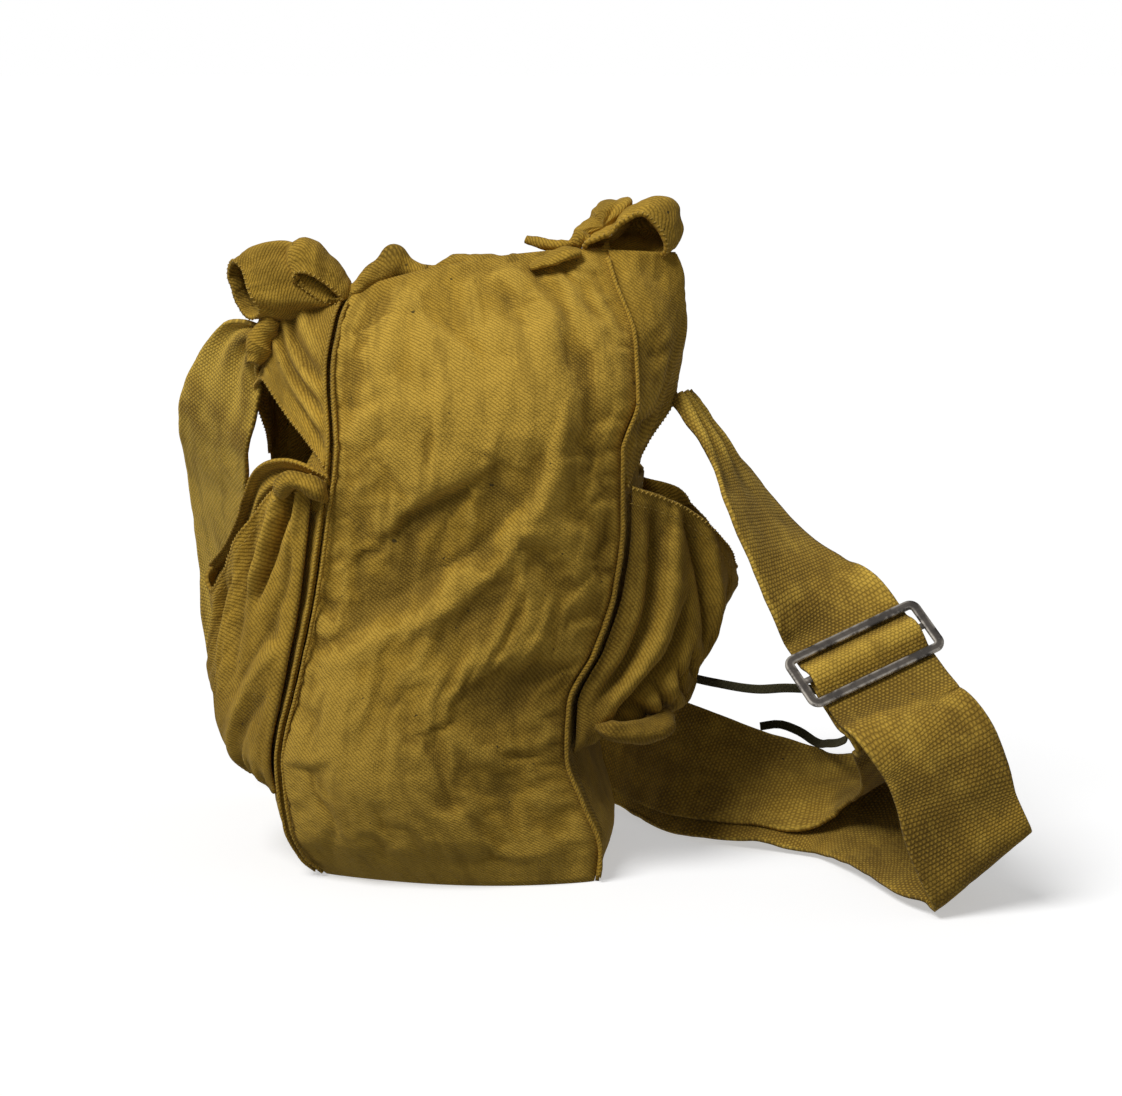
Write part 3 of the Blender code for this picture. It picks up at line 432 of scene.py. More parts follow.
sky.links.new(either.outputs[0], sky.nodes["World Output"].inputs["Surface"])
key = bpy.data.lights.new("key_sun", "SUN")
key.energy = 2.35
key.angle = math.radians(30.0)
key_lamp = bpy.data.objects.new("key_sun", key)
key_lamp.rotation_mode = "QUATERNION"
key_lamp.rotation_quaternion = Vector((0.44, 0.40, -0.81)).to_track_quat("-Z", "Y")
bpy.context.scene.collection.objects.link(key_lamp)
bpy.context.scene.view_settings.view_transform = "Standard"
bpy.context.scene.view_settings.look = "None"


# Main panel. One length of canvas runs down the front, under the base and up the
# back; the stuffing bulges it, and the slump throws a long slanting fold across it.
bag_width = 0.120
bag_depth = 0.090
bag_height = 0.250
cloth_thickness = 0.0016
seams = {
    "front_left": (
        (0.0, -0.483, -0.278), (0.037, -0.555, -0.32), (0.095, -0.6, -0.367), (0.207, -0.625, -0.378),
        (0.351, -0.567, -0.367), (0.488, -0.508, -0.344), (0.624, -0.467, -0.344), (0.76, -0.437, -0.333),
        (0.868, -0.45, -0.244), (0.955, -0.425, -0.133), (1.0, -0.392, -0.056)),
    "front_right": (
        (0.0, 0.45, -0.4), (0.05, 0.46, -0.4), (0.127, 0.4, -0.4), (0.208, 0.342, -0.4),
        (0.288, 0.35, -0.389), (0.377, 0.442, -0.367), (0.473, 0.508, -0.356), (0.577, 0.533, -0.356),
        (0.69, 0.533, -0.356), (0.77, 0.583, -0.311), (0.86, 0.575, -0.222), (0.95, 0.508, -0.089),
        (1.0, 0.475, 0.0)),
    "back_left": (
        (0.0, -0.55, 0.467), (0.055, -0.6, 0.511), (0.21, -0.667, 0.533), (0.42, -0.667, 0.533),
        (0.625, -0.683, 0.533), (0.77, -0.692, 0.511), (0.9, -0.617, 0.4), (1.0, -0.433, 0.178)),
    "back_right": (
        (0.0, 0.483, 0.489), (0.05, 0.5, 0.522), (0.21, 0.433, 0.533), (0.38, 0.5, 0.533),
        (0.59, 0.583, 0.522), (0.78, 0.633, 0.489), (0.91, 0.6, 0.378), (1.0, 0.517, 0.2))}
seam_tops = {"front_left": 0.242, "front_right": 0.260, "back_left": 0.240, "back_right": 0.256}
# Swell of each face: share of height, bulge, lean of the bulge upwards, crest across
front_swell = (
    (0.0, 0.0116, 0.0, 0.52), (0.03, 0.0144, 0.0, 0.48), (0.08, 0.018, 0.0, 0.44), (0.18, 0.02, 0.0, 0.42),
    (0.3, 0.018, 0.0, 0.46), (0.45, 0.016, 0.0, 0.52), (0.6, 0.017, 0.0, 0.55), (0.77, 0.017, 8.0, 0.5),
    (0.86, 0.014, 20.0, 0.48), (0.95, 0.0084, 42.0, 0.45), (1.0, 0.0052, 62.0, 0.45))
back_swell = (
    (0.0, 0.0022, 0.0, 0.5), (0.1, 0.0077, 0.0, 0.5), (0.3, 0.011, 0.0, 0.5), (0.7, 0.0099, 0.0, 0.5),
    (0.9, 0.0066, 25.0, 0.5), (1.0, 0.0038, 55.0, 0.45))
# Folds: relief, reach on the side left of the way they run, reach on the other, points
# as place across and share of height
front_folds = (
    (0.0055, 0.008, 0.02, ((0.73, 0.92), (0.73, 0.8), (0.775, 0.735), (0.79, 0.69), (0.745, 0.655),
     (0.685, 0.595), (0.59, 0.535), (0.434, 0.47), (0.24, 0.428), (0.12, 0.39))),
    (-0.008, 0.011, 0.022, ((0.735, 0.72), (0.713, 0.675), (0.65, 0.63), (0.527, 0.563), (0.372, 0.52),
     (0.218, 0.47), (0.09, 0.415))),
    (0.0026, 0.005, 0.011, ((0.6, 0.715), (0.5, 0.685), (0.37, 0.665), (0.24, 0.63), (0.17, 0.59))),
    (-0.0028, 0.006, 0.006, ((0.58, 0.695), (0.45, 0.655), (0.33, 0.635), (0.25, 0.59))),
    (-0.0034, 0.006, 0.006, ((0.16, 0.985), (0.115, 0.92), (0.075, 0.85), (0.045, 0.76))),
    (0.0024, 0.006, 0.006, ((0.26, 0.97), (0.2, 0.9), (0.15, 0.82), (0.12, 0.74))),
    (-0.0012, 0.006, 0.006, ((0.32, 0.96), (0.27, 0.88), (0.24, 0.8))),
    (0.0016, 0.004, 0.004, ((0.925, 0.985), (0.93, 0.93), (0.945, 0.87), (0.955, 0.8), (0.95, 0.72))),
    (-0.0014, 0.003, 0.003, ((0.955, 0.975), (0.965, 0.92), (0.975, 0.86))),
    (0.0011, 0.004, 0.004, ((0.79, 0.985), (0.84, 0.92), (0.89, 0.85), (0.91, 0.78))),
    (-0.0011, 0.004, 0.004, ((0.74, 0.98), (0.79, 0.9), (0.83, 0.82), (0.86, 0.72))),
    (-0.0013, 0.0035, 0.0035, ((0.9, 0.71), (0.89, 0.66), (0.875, 0.6), (0.86, 0.55))),
    (0.0011, 0.004, 0.004, ((0.95, 0.69), (0.935, 0.63), (0.91, 0.57), (0.87, 0.5))),
    (-0.0012, 0.003, 0.004, ((0.97, 0.62), (0.95, 0.56), (0.9, 0.5), (0.82, 0.455))),
    (-0.0018, 0.005, 0.005, ((0.015, 0.5), (0.06, 0.478), (0.1, 0.47))),
    (-0.0018, 0.004, 0.005, ((0.012, 0.425), (0.05, 0.408), (0.09, 0.415))),
    (0.0012, 0.005, 0.005, ((0.02, 0.46), (0.07, 0.447), (0.13, 0.45))),
    (0.0013, 0.006, 0.01, ((0.95, 0.44), (0.85, 0.4), (0.7, 0.385), (0.55, 0.37))),
    (-0.0015, 0.006, 0.008, ((0.97, 0.36), (0.88, 0.335), (0.76, 0.335))),
    (-0.0012, 0.004, 0.006, ((0.96, 0.22), (0.88, 0.21), (0.78, 0.225))),
    (-0.0013, 0.004, 0.006, ((0.04, 0.21), (0.12, 0.2), (0.2, 0.215))),
    (-0.0016, 0.004, 0.005, ((0.08, 0.02), (0.12, 0.06), (0.17, 0.11))),
    (-0.0016, 0.004, 0.005, ((0.93, 0.02), (0.88, 0.07), (0.84, 0.13))),
    (-0.0014, 0.006, 0.006, ((0.45, 0.035), (0.6, 0.05), (0.75, 0.04))),
    (-0.0011, 0.0016, 0.002, ((0.32, 0.86), (0.335, 0.76), (0.34, 0.65))),
    (0.0009, 0.002, 0.002, ((0.355, 0.8), (0.365, 0.72), (0.36, 0.64))),
    (-0.0012, 0.0016, 0.0022, ((0.115, 0.64), (0.145, 0.57), (0.15, 0.49))),
    (0.0011, 0.0022, 0.0022, ((0.08, 0.62), (0.1, 0.55), (0.1, 0.47))),
    (-0.001, 0.0016, 0.002, ((0.205, 0.72), (0.215, 0.63), (0.2, 0.56))),
    (0.0009, 0.0018, 0.0022, ((0.54, 0.78), (0.55, 0.7), (0.53, 0.64))),
    (-0.0012, 0.0018, 0.0018, ((0.05, 0.74), (0.07, 0.68), (0.06, 0.6))),
    (-0.0011, 0.0016, 0.0018, ((0.7, 0.5), (0.69, 0.43), (0.66, 0.36))),
    (0.001, 0.002, 0.002, ((0.8, 0.48), (0.79, 0.4), (0.77, 0.33))))
back_folds = (
    (-0.0028, 0.007, 0.011, ((0.1, 0.62), (0.3, 0.56), (0.55, 0.53), (0.8, 0.57))),
    (0.0022, 0.008, 0.012, ((0.12, 0.52), (0.4, 0.47), (0.7, 0.47), (0.92, 0.52))),
    (-0.0016, 0.005, 0.007, ((0.2, 0.92), (0.28, 0.8), (0.32, 0.68))),
    (-0.0016, 0.005, 0.007, ((0.78, 0.94), (0.7, 0.82), (0.68, 0.7))),
    (-0.0018, 0.006, 0.008, ((0.06, 0.25), (0.25, 0.2), (0.45, 0.22))),
    (-0.0016, 0.005, 0.008, ((0.94, 0.28), (0.78, 0.22), (0.62, 0.23))))


def seam_points(seam, heights):
    """Points of one corner seam at the given shares of its height."""
    plan = read_rows(seams[seam], heights)
    return np.stack([plan[..., 0] * bag_width, plan[..., 1] * bag_depth,
                     np.asarray(heights, float) * seam_tops[seam]], axis=-1)


def folded(x, y, folds, wide, high):
    """Relief of folds over a face: each swells round its line and dies off at its ends."""
    total = np.zeros(np.broadcast(x, y).shape)
    for relief, left_reach, right_reach, line in folds:
        line = np.array(line) * (wide, high)
        best = np.full(total.shape, 1e9)
        side = np.zeros(total.shape)
        along = np.zeros(total.shape)
        legs = np.linalg.norm(np.diff(line, axis=0), axis=1)
        place = running(legs)
        for k in range(len(legs)):
            run = line[k + 1] - line[k]
            share = np.clip(((x - line[k, 0]) * run[0] + (y - line[k, 1]) * run[1]) / run.dot(run), 0, 1)
            dx, dy = x - line[k, 0] - share * run[0], y - line[k, 1] - share * run[1]
            away = np.hypot(dx, dy)
            near = away < best
            best = np.where(near, away, best)
            side = np.where(near, run[0] * dy - run[1] * dx, side)
            along = np.where(near, (place[k] + share * legs[k]) / place[-1], along)
        reach = np.where(side > 0, left_reach, right_reach)
        taper = np.clip(np.minimum(along, 1.0 - along) / 0.22, 0.0, 1.0) ** 0.7
        total += relief * (0.25 + 0.75 * taper) * np.exp(-(best / reach) ** (1.3 if relief < 0.0 else 2.0))
    return total


def crumple(x, y, size, seed, octaves=3):
    """Smooth random relief over a face, about one high, with lumps of the given size."""
    rng = np.random.default_rng(seed)
    total, weight = 0.0, 0.0
    for octave in range(octaves):
        lattice = rng.uniform(-1.0, 1.0, (64, 64))
        u, v = x / size * 2**octave + 11.3, y / size * 2**octave + 17.9
        i, j = np.floor(u).astype(int), np.floor(v).astype(int)
        s, t = u - i, v - j
        s, t = s * s * s * (s * (6 * s - 15) + 10), t * t * t * (t * (6 * t - 15) + 10)
        a, b = lattice[i % 64, j % 64], lattice[(i + 1) % 64, j % 64]
        c, d = lattice[i % 64, (j + 1) % 64], lattice[(i + 1) % 64, (j + 1) % 64]
        total = total + 0.5**octave * ((a * (1 - s) + b * s) * (1 - t) + (c * (1 - s) + d * s) * t)
        weight += 0.5**octave
    return total / weight


def creased(x, y, size, seed, width=0.07):
    """Network of sharp creases over a face, from 0 between them to 1 along them."""
    return np.exp(-(np.abs(crumple(x, y, size, seed, 2)) / width) ** 1.3)


def crowned(across, crest):
    """Swell across a panel, nought at both seams and one at the crest."""
    bent = across ** (math.log(0.5) / np.log(crest))
    return np.sin(math.pi * np.clip(bent, 0.0, 1.0)) ** 0.8


def outward_normals(grid):
    """Unit normals of a grid whose rows run down and columns run to the right."""
    along, across = np.gradient(grid, axis=0), np.gradient(grid, axis=1)
    return unit(np.cross(along, across))


def blurred(field, times, around=False):
    """The field averaged with its neighbours a number of times."""
    for _ in range(times):
        padded = np.pad(field, ((1, 1), (0, 0)), mode="edge")
        field = (padded[:-2] + 2 * padded[1:-1] + padded[2:]) / 4
        if around:
            padded = np.concatenate([field[:, -1:], field, field[:, :1]], axis=1)
        else:
            padded = np.pad(field, ((0, 0), (1, 1)), mode="edge")
        field = (padded[:, :-2] + 2 * padded[:, 1:-1] + padded[:, 2:]) / 4
    return field


def fold_shade(points, scale=0.0011, times=24, around=False):
    """How far each point stands out of its surroundings, from -1 in folds to 1 on ridges: painted shade in
    the folds, wear and painted light on the ridges.
    """
    soft = np.stack([blurred(points[..., k], times, around) for k in range(3)], axis=-1)
    out = ((points - soft) * outward_normals(soft)).sum(axis=-1)
    return np.clip(out / scale, -1.0, 1.0)


def face_points(face, heights, across):
    """Front or back of the main panel, one row of points for each height."""
    sections, forward, folds, seed = {
        "front": (front_swell, -1.0, front_folds, 3),
        "back": (back_swell, 1.0, back_folds, 5)}[face]
    low = seam_points(face + "_left", heights)[:, None, :]
    high = seam_points(face + "_right", heights)[:, None, :]
    shape = read_rows(sections, heights)
    lean = np.radians(shape[:, 1])
    out = np.stack([np.zeros_like(lean), forward * np.cos(lean), np.sin(lean)], axis=-1)
    amount = shape[:, :1] * crowned(across[None, :], shape[:, 2:3])
    x = across[None, :] * bag_width * np.ones((len(heights), 1))
    y = np.asarray(heights)[:, None] * bag_height * np.ones((1, len(across)))
    edge = np.clip(across / 0.035, 0, 1) * np.clip((1.0 - across) / 0.035, 0, 1)
    hem = np.clip((1.0 - y / bag_height) / 0.03, 0.0, 1.0) * np.clip(y / bag_height / 0.02, 0.0, 1.0)
    relief = folded(x, y, folds, bag_width, bag_height)
    relief = relief + 0.0013 * crumple(x, y, 0.030, seed) + 0.0005 * crumple(x, y, 0.009, seed + 1, 2)
    relief = relief + 0.0007 * crumple(1.7 * x, 0.45 * y, 0.008, seed + 7, 2)
    worked = crumple(x, y, 0.05, seed + 11) > 0.0
    relief = relief - 0.0008 * creased(1.5 * x, 0.55 * y, 0.034, seed + 9) * worked
    near_seam = np.exp(-(np.minimum(x, bag_width - x) / 0.010) ** 2)
    relief = relief + 0.0008 * near_seam * crumple(0.35 * x, y, 0.006, seed + 2, 2)
    amount = amount + relief * edge * hem
    return low + (high - low) * across[None, :, None] + out[:, None, :] * amount[..., None]


panel_across = np.linspace(0.0, 1.0, 64)
front_points = face_points("front", np.append(np.linspace(1.0, 0.02, 128), (0.01, 0.0)), panel_across)
back_points = face_points("back", np.append((0.0, 0.01), np.linspace(0.02, 1.0, 96)), panel_across)
base_steps = np.linspace(0.0, 1.0, 34)[1:-1, None, None]
base_points = front_points[-1] + (back_points[0] - front_points[-1]) * base_steps
panel_points = np.concatenate([front_points, base_points, back_points])


def raised(points, relief):
    """The grid with a relief added along its outward normals."""
    return points + outward_normals(points) * relief[..., None]


def as_sheet(piece, node, thickness, offset=-1.0):
    """Gives a sheet its thickness and its place on the bag."""
    wall = piece.modifiers.new("cloth_thickness", "SOLIDIFY")
    wall.thickness = thickness
    wall.offset = offset
    placed(piece, node)


def sewn(name, points, node, fold=None):
    """Canvas from a grid: a sheet of the bag's own cloth that stands for a CAD node, with painted shade in
    its folds and worn, painted lighter ridges.
    """
    shade = fold_shade(points) if fold is None else fold
    piece = grid_mesh(name, points, canvas, fold=shade)
    as_sheet(piece, node, cloth_thickness)


def stuffed(points, pinned, growth, pressure, cap, frames):
    """The grid after a short cloth simulation that fills it out between its held edges."""
    probe = grid_mesh("stuffing_probe", points, canvas)
    group = probe.vertex_groups.new(name="held")
    flat = pinned.reshape(-1)
    for level in np.unique(np.round(flat, 2)):
        chosen = np.nonzero(np.round(flat, 2) == level)[0].tolist()
        if level > 0.0:
            group.add(chosen, float(level), "REPLACE")
    cloth = probe.modifiers.new("fill", "CLOTH")
    cloth.settings.quality = 6
    cloth.settings.mass = 0.25
    cloth.settings.tension_stiffness = 25.0
    cloth.settings.compression_stiffness = 25.0
    cloth.settings.shear_stiffness = 12.0
    cloth.settings.bending_stiffness = 0.35
    cloth.settings.air_damping = 8.0
    cloth.settings.use_pressure = True
    cloth.settings.uniform_pressure_force = pressure
    cloth.settings.shrink_min = -growth
    cloth.settings.vertex_group_mass = "held"
    cloth.settings.effector_weights.gravity = 0.0
    cloth.collision_settings.use_collision = False
    cloth.point_cache.frame_start = 1
    cloth.point_cache.frame_end = frames
    scene = bpy.context.scene
    for frame_number in range(1, frames + 1):
        scene.frame_set(frame_number)
    graph = bpy.context.evaluated_depsgraph_get()
    filled = probe.evaluated_get(graph).to_mesh()
    moved = np.empty(len(filled.vertices) * 3, dtype=np.float32)
    filled.vertices.foreach_get("co", moved)
    probe.evaluated_get(graph).to_mesh_clear()
    shift = moved.reshape(points.shape).astype(float) - points
    far = np.linalg.norm(shift, axis=-1, keepdims=True)
    bpy.data.objects.remove(probe, do_unlink=True)
    scene.frame_set(1)
    return points + shift * np.minimum(1.0, cap / np.maximum(far, 1e-9))


floor_gap = 0.0001
off_seam = np.minimum(panel_across, 1.0 - panel_across)[None, :] * np.ones((len(panel_points), 1))
on_floor = (panel_points[..., 2] < 0.012).astype(float)
free = np.clip(off_seam / 0.10, 0.0, 1.0)
free[:4] = 0.0
free[-4:] = 0.0
hold = np.clip(np.where(free < 0.02, 1.0, 0.35 * (1.0 - free)) + on_floor, 0.0, 1.0)
panel_points = stuffed(panel_points, hold, 0.028, 0.6, 0.0026, 14)
panel_points[..., 2] = np.maximum(panel_points[..., 2], floor_gap)
turned_in = np.zeros((len(panel_points), 3))
turned_in[:len(front_points), 1] = 1.0
turned_in[-len(back_points):, 1] = -1.0
turned_in[len(front_points):-len(back_points), 2] = 1.0
turned_in = blurred(turned_in, 3)
left_turn = unit(turned_in + (0.10, 0.0, 0.0))[:, None]
right_turn = unit(turned_in - (0.10, 0.0, 0.0))[:, None]
allowance = np.array((0.0060, 0.0030, 0.0008))[None, :, None]
panel_points = np.concatenate([panel_points[:, :1] + left_turn * allowance, panel_points,
                               panel_points[:, -1:] + right_turn * allowance[:, ::-1]], axis=1)
# Painted shade in the panel's folds; wear and painted light on its ridges.
sewn("main_panel_cloth", panel_points, "main_panel", fold_shade(panel_points, 0.0013, 60))


# Gussets. The sides of the bag under the openings: plain twill between the front
# and back seams, mostly behind the pockets, with a little slack of their own.
def side_points(side, place, heights, reach):
    """Points between the front and back seams of one side, pushed outwards by reach."""
    name = "_left" if side < 0 else "_right"
    front = seam_points("front" + name, heights)
    run = seam_points("back" + name, heights) - front
    flat = unit(run * (1.0, 1.0, 0.0))
    out = side * np.stack([flat[..., 1], -flat[..., 0], np.zeros_like(flat[..., 0])], axis=-1)
    spots = front + run * np.asarray(place)[..., None] + out * np.asarray(reach)[..., None]
    return spots[:, ::-1] if side < 0 and spots.ndim == 3 else spots


side_belly = 0.005


def side_swell(place, height):
    """Swell of a side between its seams, which dies off towards the base."""
    return side_belly * np.sin(math.pi * place) * np.clip(height / 0.08, 0.0, 1.0)


def gusset_grid(side, top, seed):
    """Grid of one gusset, which reaches up under the ear at the front seam."""
    place, share = np.meshgrid(np.linspace(0.0, 1.0, 34), np.linspace(1.0, 0.0, 60))
    height = share * (top + 0.060 * np.clip((0.30 - place) / 0.15, 0.0, 1.0))
    grid = side_points(side, place, height, 0.0005 + side_swell(place, height) + cloth_thickness)
    edge = np.clip(np.minimum(place, 1.0 - place) / 0.08, 0.0, 1.0) * np.clip(height / 0.05, 0.0, 1.0)
    across, up = 0.08 * place, bag_height * height
    relief = 0.0011 * crumple(across, up, 0.022, seed) * edge
    relief = relief + 0.0005 * crumple(across, up, 0.007, seed + 1, 2) * edge
    return raised(grid, relief)


for side, name, top, seed in ((-1, "left_gusset", 0.68, 21), (1, "right_gusset", 0.64, 27)):
    grid = gusset_grid(side, top, seed)
    grid[..., 2] = np.maximum(grid[..., 2], floor_gap)
    sewn(name + "_cloth", grid, name)


# Ears. The tops of the sides, drawn out to corners where the strap is knotted: the
# pull of the knots throws folds that run from the corner to the front seam.
# For each ear: side, reach outwards; rows along it of place, its lower and upper edge
# in shares of the seams' height, and push; rows of height and share of the push
ear_shapes = {
    "left_ear": (
        -1, 0.017,
        ((0.0, 0.715, 0.992, 0.0), (0.25, 0.782, 0.98, 0.52), (0.45, 0.852, 0.95, 0.97),
         (0.58, 0.84, 0.946, 0.98), (0.8, 0.745, 0.96, 0.45), (1.0, 0.7, 0.985, 0.0)),
        ((0.7, 0.55), (0.86, 1.0), (0.94, 1.0), (1.0, 0.75))),
    "right_ear": (
        1, 0.027,
        ((0.0, 0.635, 0.997, 0.0), (0.25, 0.69, 0.998, 0.66), (0.5, 0.766, 0.998, 1.0),
         (0.75, 0.768, 0.995, 0.74), (1.0, 0.73, 0.99, 0.0)),
        ((0.66, 0.2), (0.77, 0.46), (0.88, 0.74), (1.0, 1.0)))}
# Folds of the ears in metres: along from the front seam, up from the lower edge
ear_folds = {
    "left_ear": (
        (0.003, 0.0045, 0.006, ((0.002, 0.047), (0.014, 0.042), (0.028, 0.034), (0.04, 0.029))),
        (-0.0026, 0.0035, 0.0035, ((0.002, 0.036), (0.014, 0.034), (0.026, 0.03), (0.038, 0.026))),
        (0.0028, 0.004, 0.004, ((0.002, 0.029), (0.014, 0.028), (0.026, 0.026), (0.038, 0.023))),
        (-0.0024, 0.0035, 0.0035, ((0.002, 0.021), (0.014, 0.022), (0.026, 0.022), (0.036, 0.021))),
        (0.0022, 0.004, 0.004, ((0.002, 0.013), (0.014, 0.015), (0.026, 0.018), (0.036, 0.018))),
        (-0.0018, 0.003, 0.003, ((0.002, 0.006), (0.012, 0.008), (0.024, 0.012)))),
    "right_ear": (
        (0.0016, 0.005, 0.006, ((0.004, 0.09), (0.012, 0.074), (0.018, 0.052), (0.02, 0.03))),
        (-0.0016, 0.004, 0.004, ((0.01, 0.086), (0.016, 0.074), (0.022, 0.068))),
        (-0.0014, 0.003, 0.003, ((0.026, 0.084), (0.028, 0.07), (0.027, 0.058))),
        (0.0014, 0.005, 0.005, ((0.034, 0.086), (0.036, 0.066), (0.034, 0.046))),
        (-0.002, 0.003, 0.0045, ((0.002, 0.028), (0.01, 0.02), (0.018, 0.016), (0.026, 0.014))),
        (0.002, 0.003, 0.0045, ((0.002, 0.018), (0.01, 0.011), (0.018, 0.008), (0.028, 0.006))),
        (-0.0014, 0.003, 0.003, ((0.006, 0.052), (0.014, 0.046), (0.024, 0.045))),
        (-0.0016, 0.0035, 0.0035, ((0.05, 0.08), (0.052, 0.06), (0.048, 0.036))),
        (0.0016, 0.0045, 0.0045, ((0.062, 0.076), (0.06, 0.054), (0.056, 0.03))))}


def edge_distance(points, last=False):
    """Distance along the cloth from its first row, or its last."""
    steps = np.linalg.norm(np.diff(points, axis=0), axis=-1)
    far = np.concatenate([np.zeros((1, steps.shape[1])), np.cumsum(steps, axis=0)])
    return far[-1:] - far if last else far


def hem(distance, width=0.0075, lift=0.0008):
    """Relief of a turned and stitched hem at the given distances from the edge."""
    band = lift * (1.0 / (1.0 + np.exp((distance - width) / 0.0006)))
    stitch = 0.0005 * np.exp(-((distance - width + 0.0014) / 0.0009) ** 2)
    lip = 0.0007 * np.exp(-(distance / 0.0016) ** 2)
    return band - stitch + lip


rims = {}
for name, (side, reach, rows, swell) in ear_shapes.items():
    place, share = np.meshgrid(np.linspace(0.0, 1.0, 84), np.linspace(1.0, 0.0, 58))
    shape = read_rows(rows, place)
    height = shape[..., 0] + (shape[..., 1] - shape[..., 0]) * share
    push = read_rows(swell, height)[..., 0] * shape[..., 2]
    grid = side_points(side, place, height, 0.0009 + cloth_thickness + reach * push)
    across = edge_distance(grid.swapaxes(0, 1), last=side < 0).T
    up = edge_distance(grid, last=True)
    edge = np.clip(np.minimum(place, 1.0 - place) / 0.03, 0.0, 1.0)[:, ::side]
    relief = folded(across, up, ear_folds[name], 1.0, 1.0)
    relief = relief + 0.0009 * crumple(across, up, 0.017, 31) + 0.0004 * crumple(across, up, 0.006, 32, 2)
    relief = relief * edge * np.clip(up / 0.004, 0.3, 1.0) + hem(up)
    rims[name] = raised(grid, relief)
    sewn(name + "_cloth", rims[name], name)


# Pockets. A gathered patch pocket on each side, sewn down on three sides, pleated
# under its rim and standing open; what was in them has left them baggy.
# For each pocket: side, bulge; rows along its rim of place, height in shares of the
# seams' height, and fullness; rows from the bottom to the rim of height and fullness
pocket_shapes = {
    "left_pocket": (
        -1, 0.022,
        ((0.0, 0.705, 0.1), (0.12, 0.69, 0.42), (0.22, 0.655, 0.66), (0.35, 0.59, 0.92),
         (0.5, 0.52, 1.12), (0.62, 0.478, 1.34), (0.7, 0.5, 1.42), (0.78, 0.52, 1.2), (0.85, 0.545, 0.85),
         (1.0, 0.6, 0.0)),
        ((0.0, 0.0), (0.1, 0.6), (0.3, 0.92), (0.55, 1.0), (0.8, 0.95), (1.0, 0.88))),
    "right_pocket": (
        1, 0.042,
        ((0.0, 0.635, 0.0), (0.12, 0.606, 0.4), (0.35, 0.53, 0.86), (0.55, 0.486, 1.0),
         (0.68, 0.51, 0.86), (0.8, 0.56, 0.62), (0.9, 0.6, 0.36), (1.0, 0.615, 0.0)),
        ((0.0, 0.0), (0.07, 0.6), (0.2, 0.9), (0.55, 1.0), (0.85, 1.0), (1.0, 0.95)))}
# Folds of the pockets in metres: along from the front seam, down from the rim
pocket_folds = {
    "left_pocket": (
        (-0.0064, 0.0022, 0.0018, ((0.009, 0.003), (0.012, 0.016), (0.017, 0.03), (0.023, 0.046))),
        (0.0042, 0.005, 0.005, ((0.016, 0.0), (0.02, 0.012), (0.025, 0.026), (0.029, 0.042))),
        (0.0028, 0.004, 0.004, ((0.004, 0.0), (0.006, 0.014), (0.009, 0.03))),
        (-0.0024, 0.0045, 0.0045, ((0.036, 0.006), (0.036, 0.026), (0.034, 0.05), (0.03, 0.074))),
        (0.0026, 0.006, 0.008, ((0.048, 0.002), (0.048, 0.026), (0.044, 0.052), (0.038, 0.08),
         (0.03, 0.105))),
        (-0.0024, 0.005, 0.006, ((0.058, 0.01), (0.058, 0.036), (0.054, 0.062), (0.046, 0.09))),
        (-0.002, 0.004, 0.005, ((0.008, 0.06), (0.016, 0.07), (0.028, 0.084))),
        (0.0018, 0.004, 0.006, ((0.006, 0.074), (0.016, 0.086), (0.026, 0.1))),
        (-0.0022, 0.0035, 0.0045, ((0.006, 0.092), (0.016, 0.104), (0.024, 0.116))),
        (-0.003, 0.003, 0.0035, ((0.07, 0.004), (0.068, 0.016), (0.062, 0.03))),
        (0.0026, 0.005, 0.005, ((0.076, 0.004), (0.075, 0.024), (0.072, 0.048))),
        (-0.0026, 0.005, 0.005, ((0.086, 0.006), (0.086, 0.03), (0.082, 0.056)))),
    "right_pocket": (
        (-0.0085, 0.0026, 0.0044, ((0.01, 0.006), (0.012, 0.03), (0.014, 0.056), (0.012, 0.08),
         (0.006, 0.098))),
        (0.0026, 0.005, 0.005, ((0.019, 0.002), (0.021, 0.028), (0.023, 0.052), (0.02, 0.078),
         (0.012, 0.1))),
        (-0.0068, 0.0022, 0.0044, ((0.026, 0.004), (0.033, 0.018), (0.041, 0.032), (0.048, 0.044))),
        (0.0026, 0.004, 0.006, ((0.038, 0.002), (0.045, 0.016), (0.052, 0.032), (0.056, 0.05))),
        (-0.007, 0.0026, 0.0046, ((0.03, 0.04), (0.031, 0.062), (0.026, 0.086), (0.016, 0.106))),
        (0.0022, 0.005, 0.005, ((0.038, 0.05), (0.038, 0.07), (0.034, 0.092))),
        (-0.0054, 0.0022, 0.0036, ((0.03, 0.074), (0.044, 0.078), (0.056, 0.08), (0.066, 0.074))),
        (0.0024, 0.004, 0.005, ((0.036, 0.074), (0.048, 0.068), (0.06, 0.062))),
        (-0.005, 0.0022, 0.0036, ((0.018, 0.094), (0.034, 0.088), (0.05, 0.086), (0.064, 0.08))),
        (-0.0036, 0.0016, 0.0026, ((0.04, 0.052), (0.048, 0.055), (0.056, 0.053))),
        (-0.0034, 0.0016, 0.0026, ((0.036, 0.062), (0.045, 0.066), (0.054, 0.065), (0.062, 0.061))),
        (-0.0034, 0.0016, 0.0026, ((0.052, 0.036), (0.056, 0.046), (0.064, 0.05))),
        (-0.0024, 0.005, 0.005, ((0.062, 0.006), (0.066, 0.028), (0.066, 0.05))),
        (0.0026, 0.005, 0.005, ((0.076, 0.004), (0.078, 0.03), (0.076, 0.056))),
        (-0.0028, 0.005, 0.005, ((0.088, 0.004), (0.09, 0.028), (0.088, 0.054))),
        (0.0022, 0.004, 0.004, ((0.1, 0.004), (0.101, 0.028), (0.098, 0.06))))}
pocket_bottoms = {"left_pocket": 0.150, "right_pocket": 0.210}
pocket_inset = 0.025
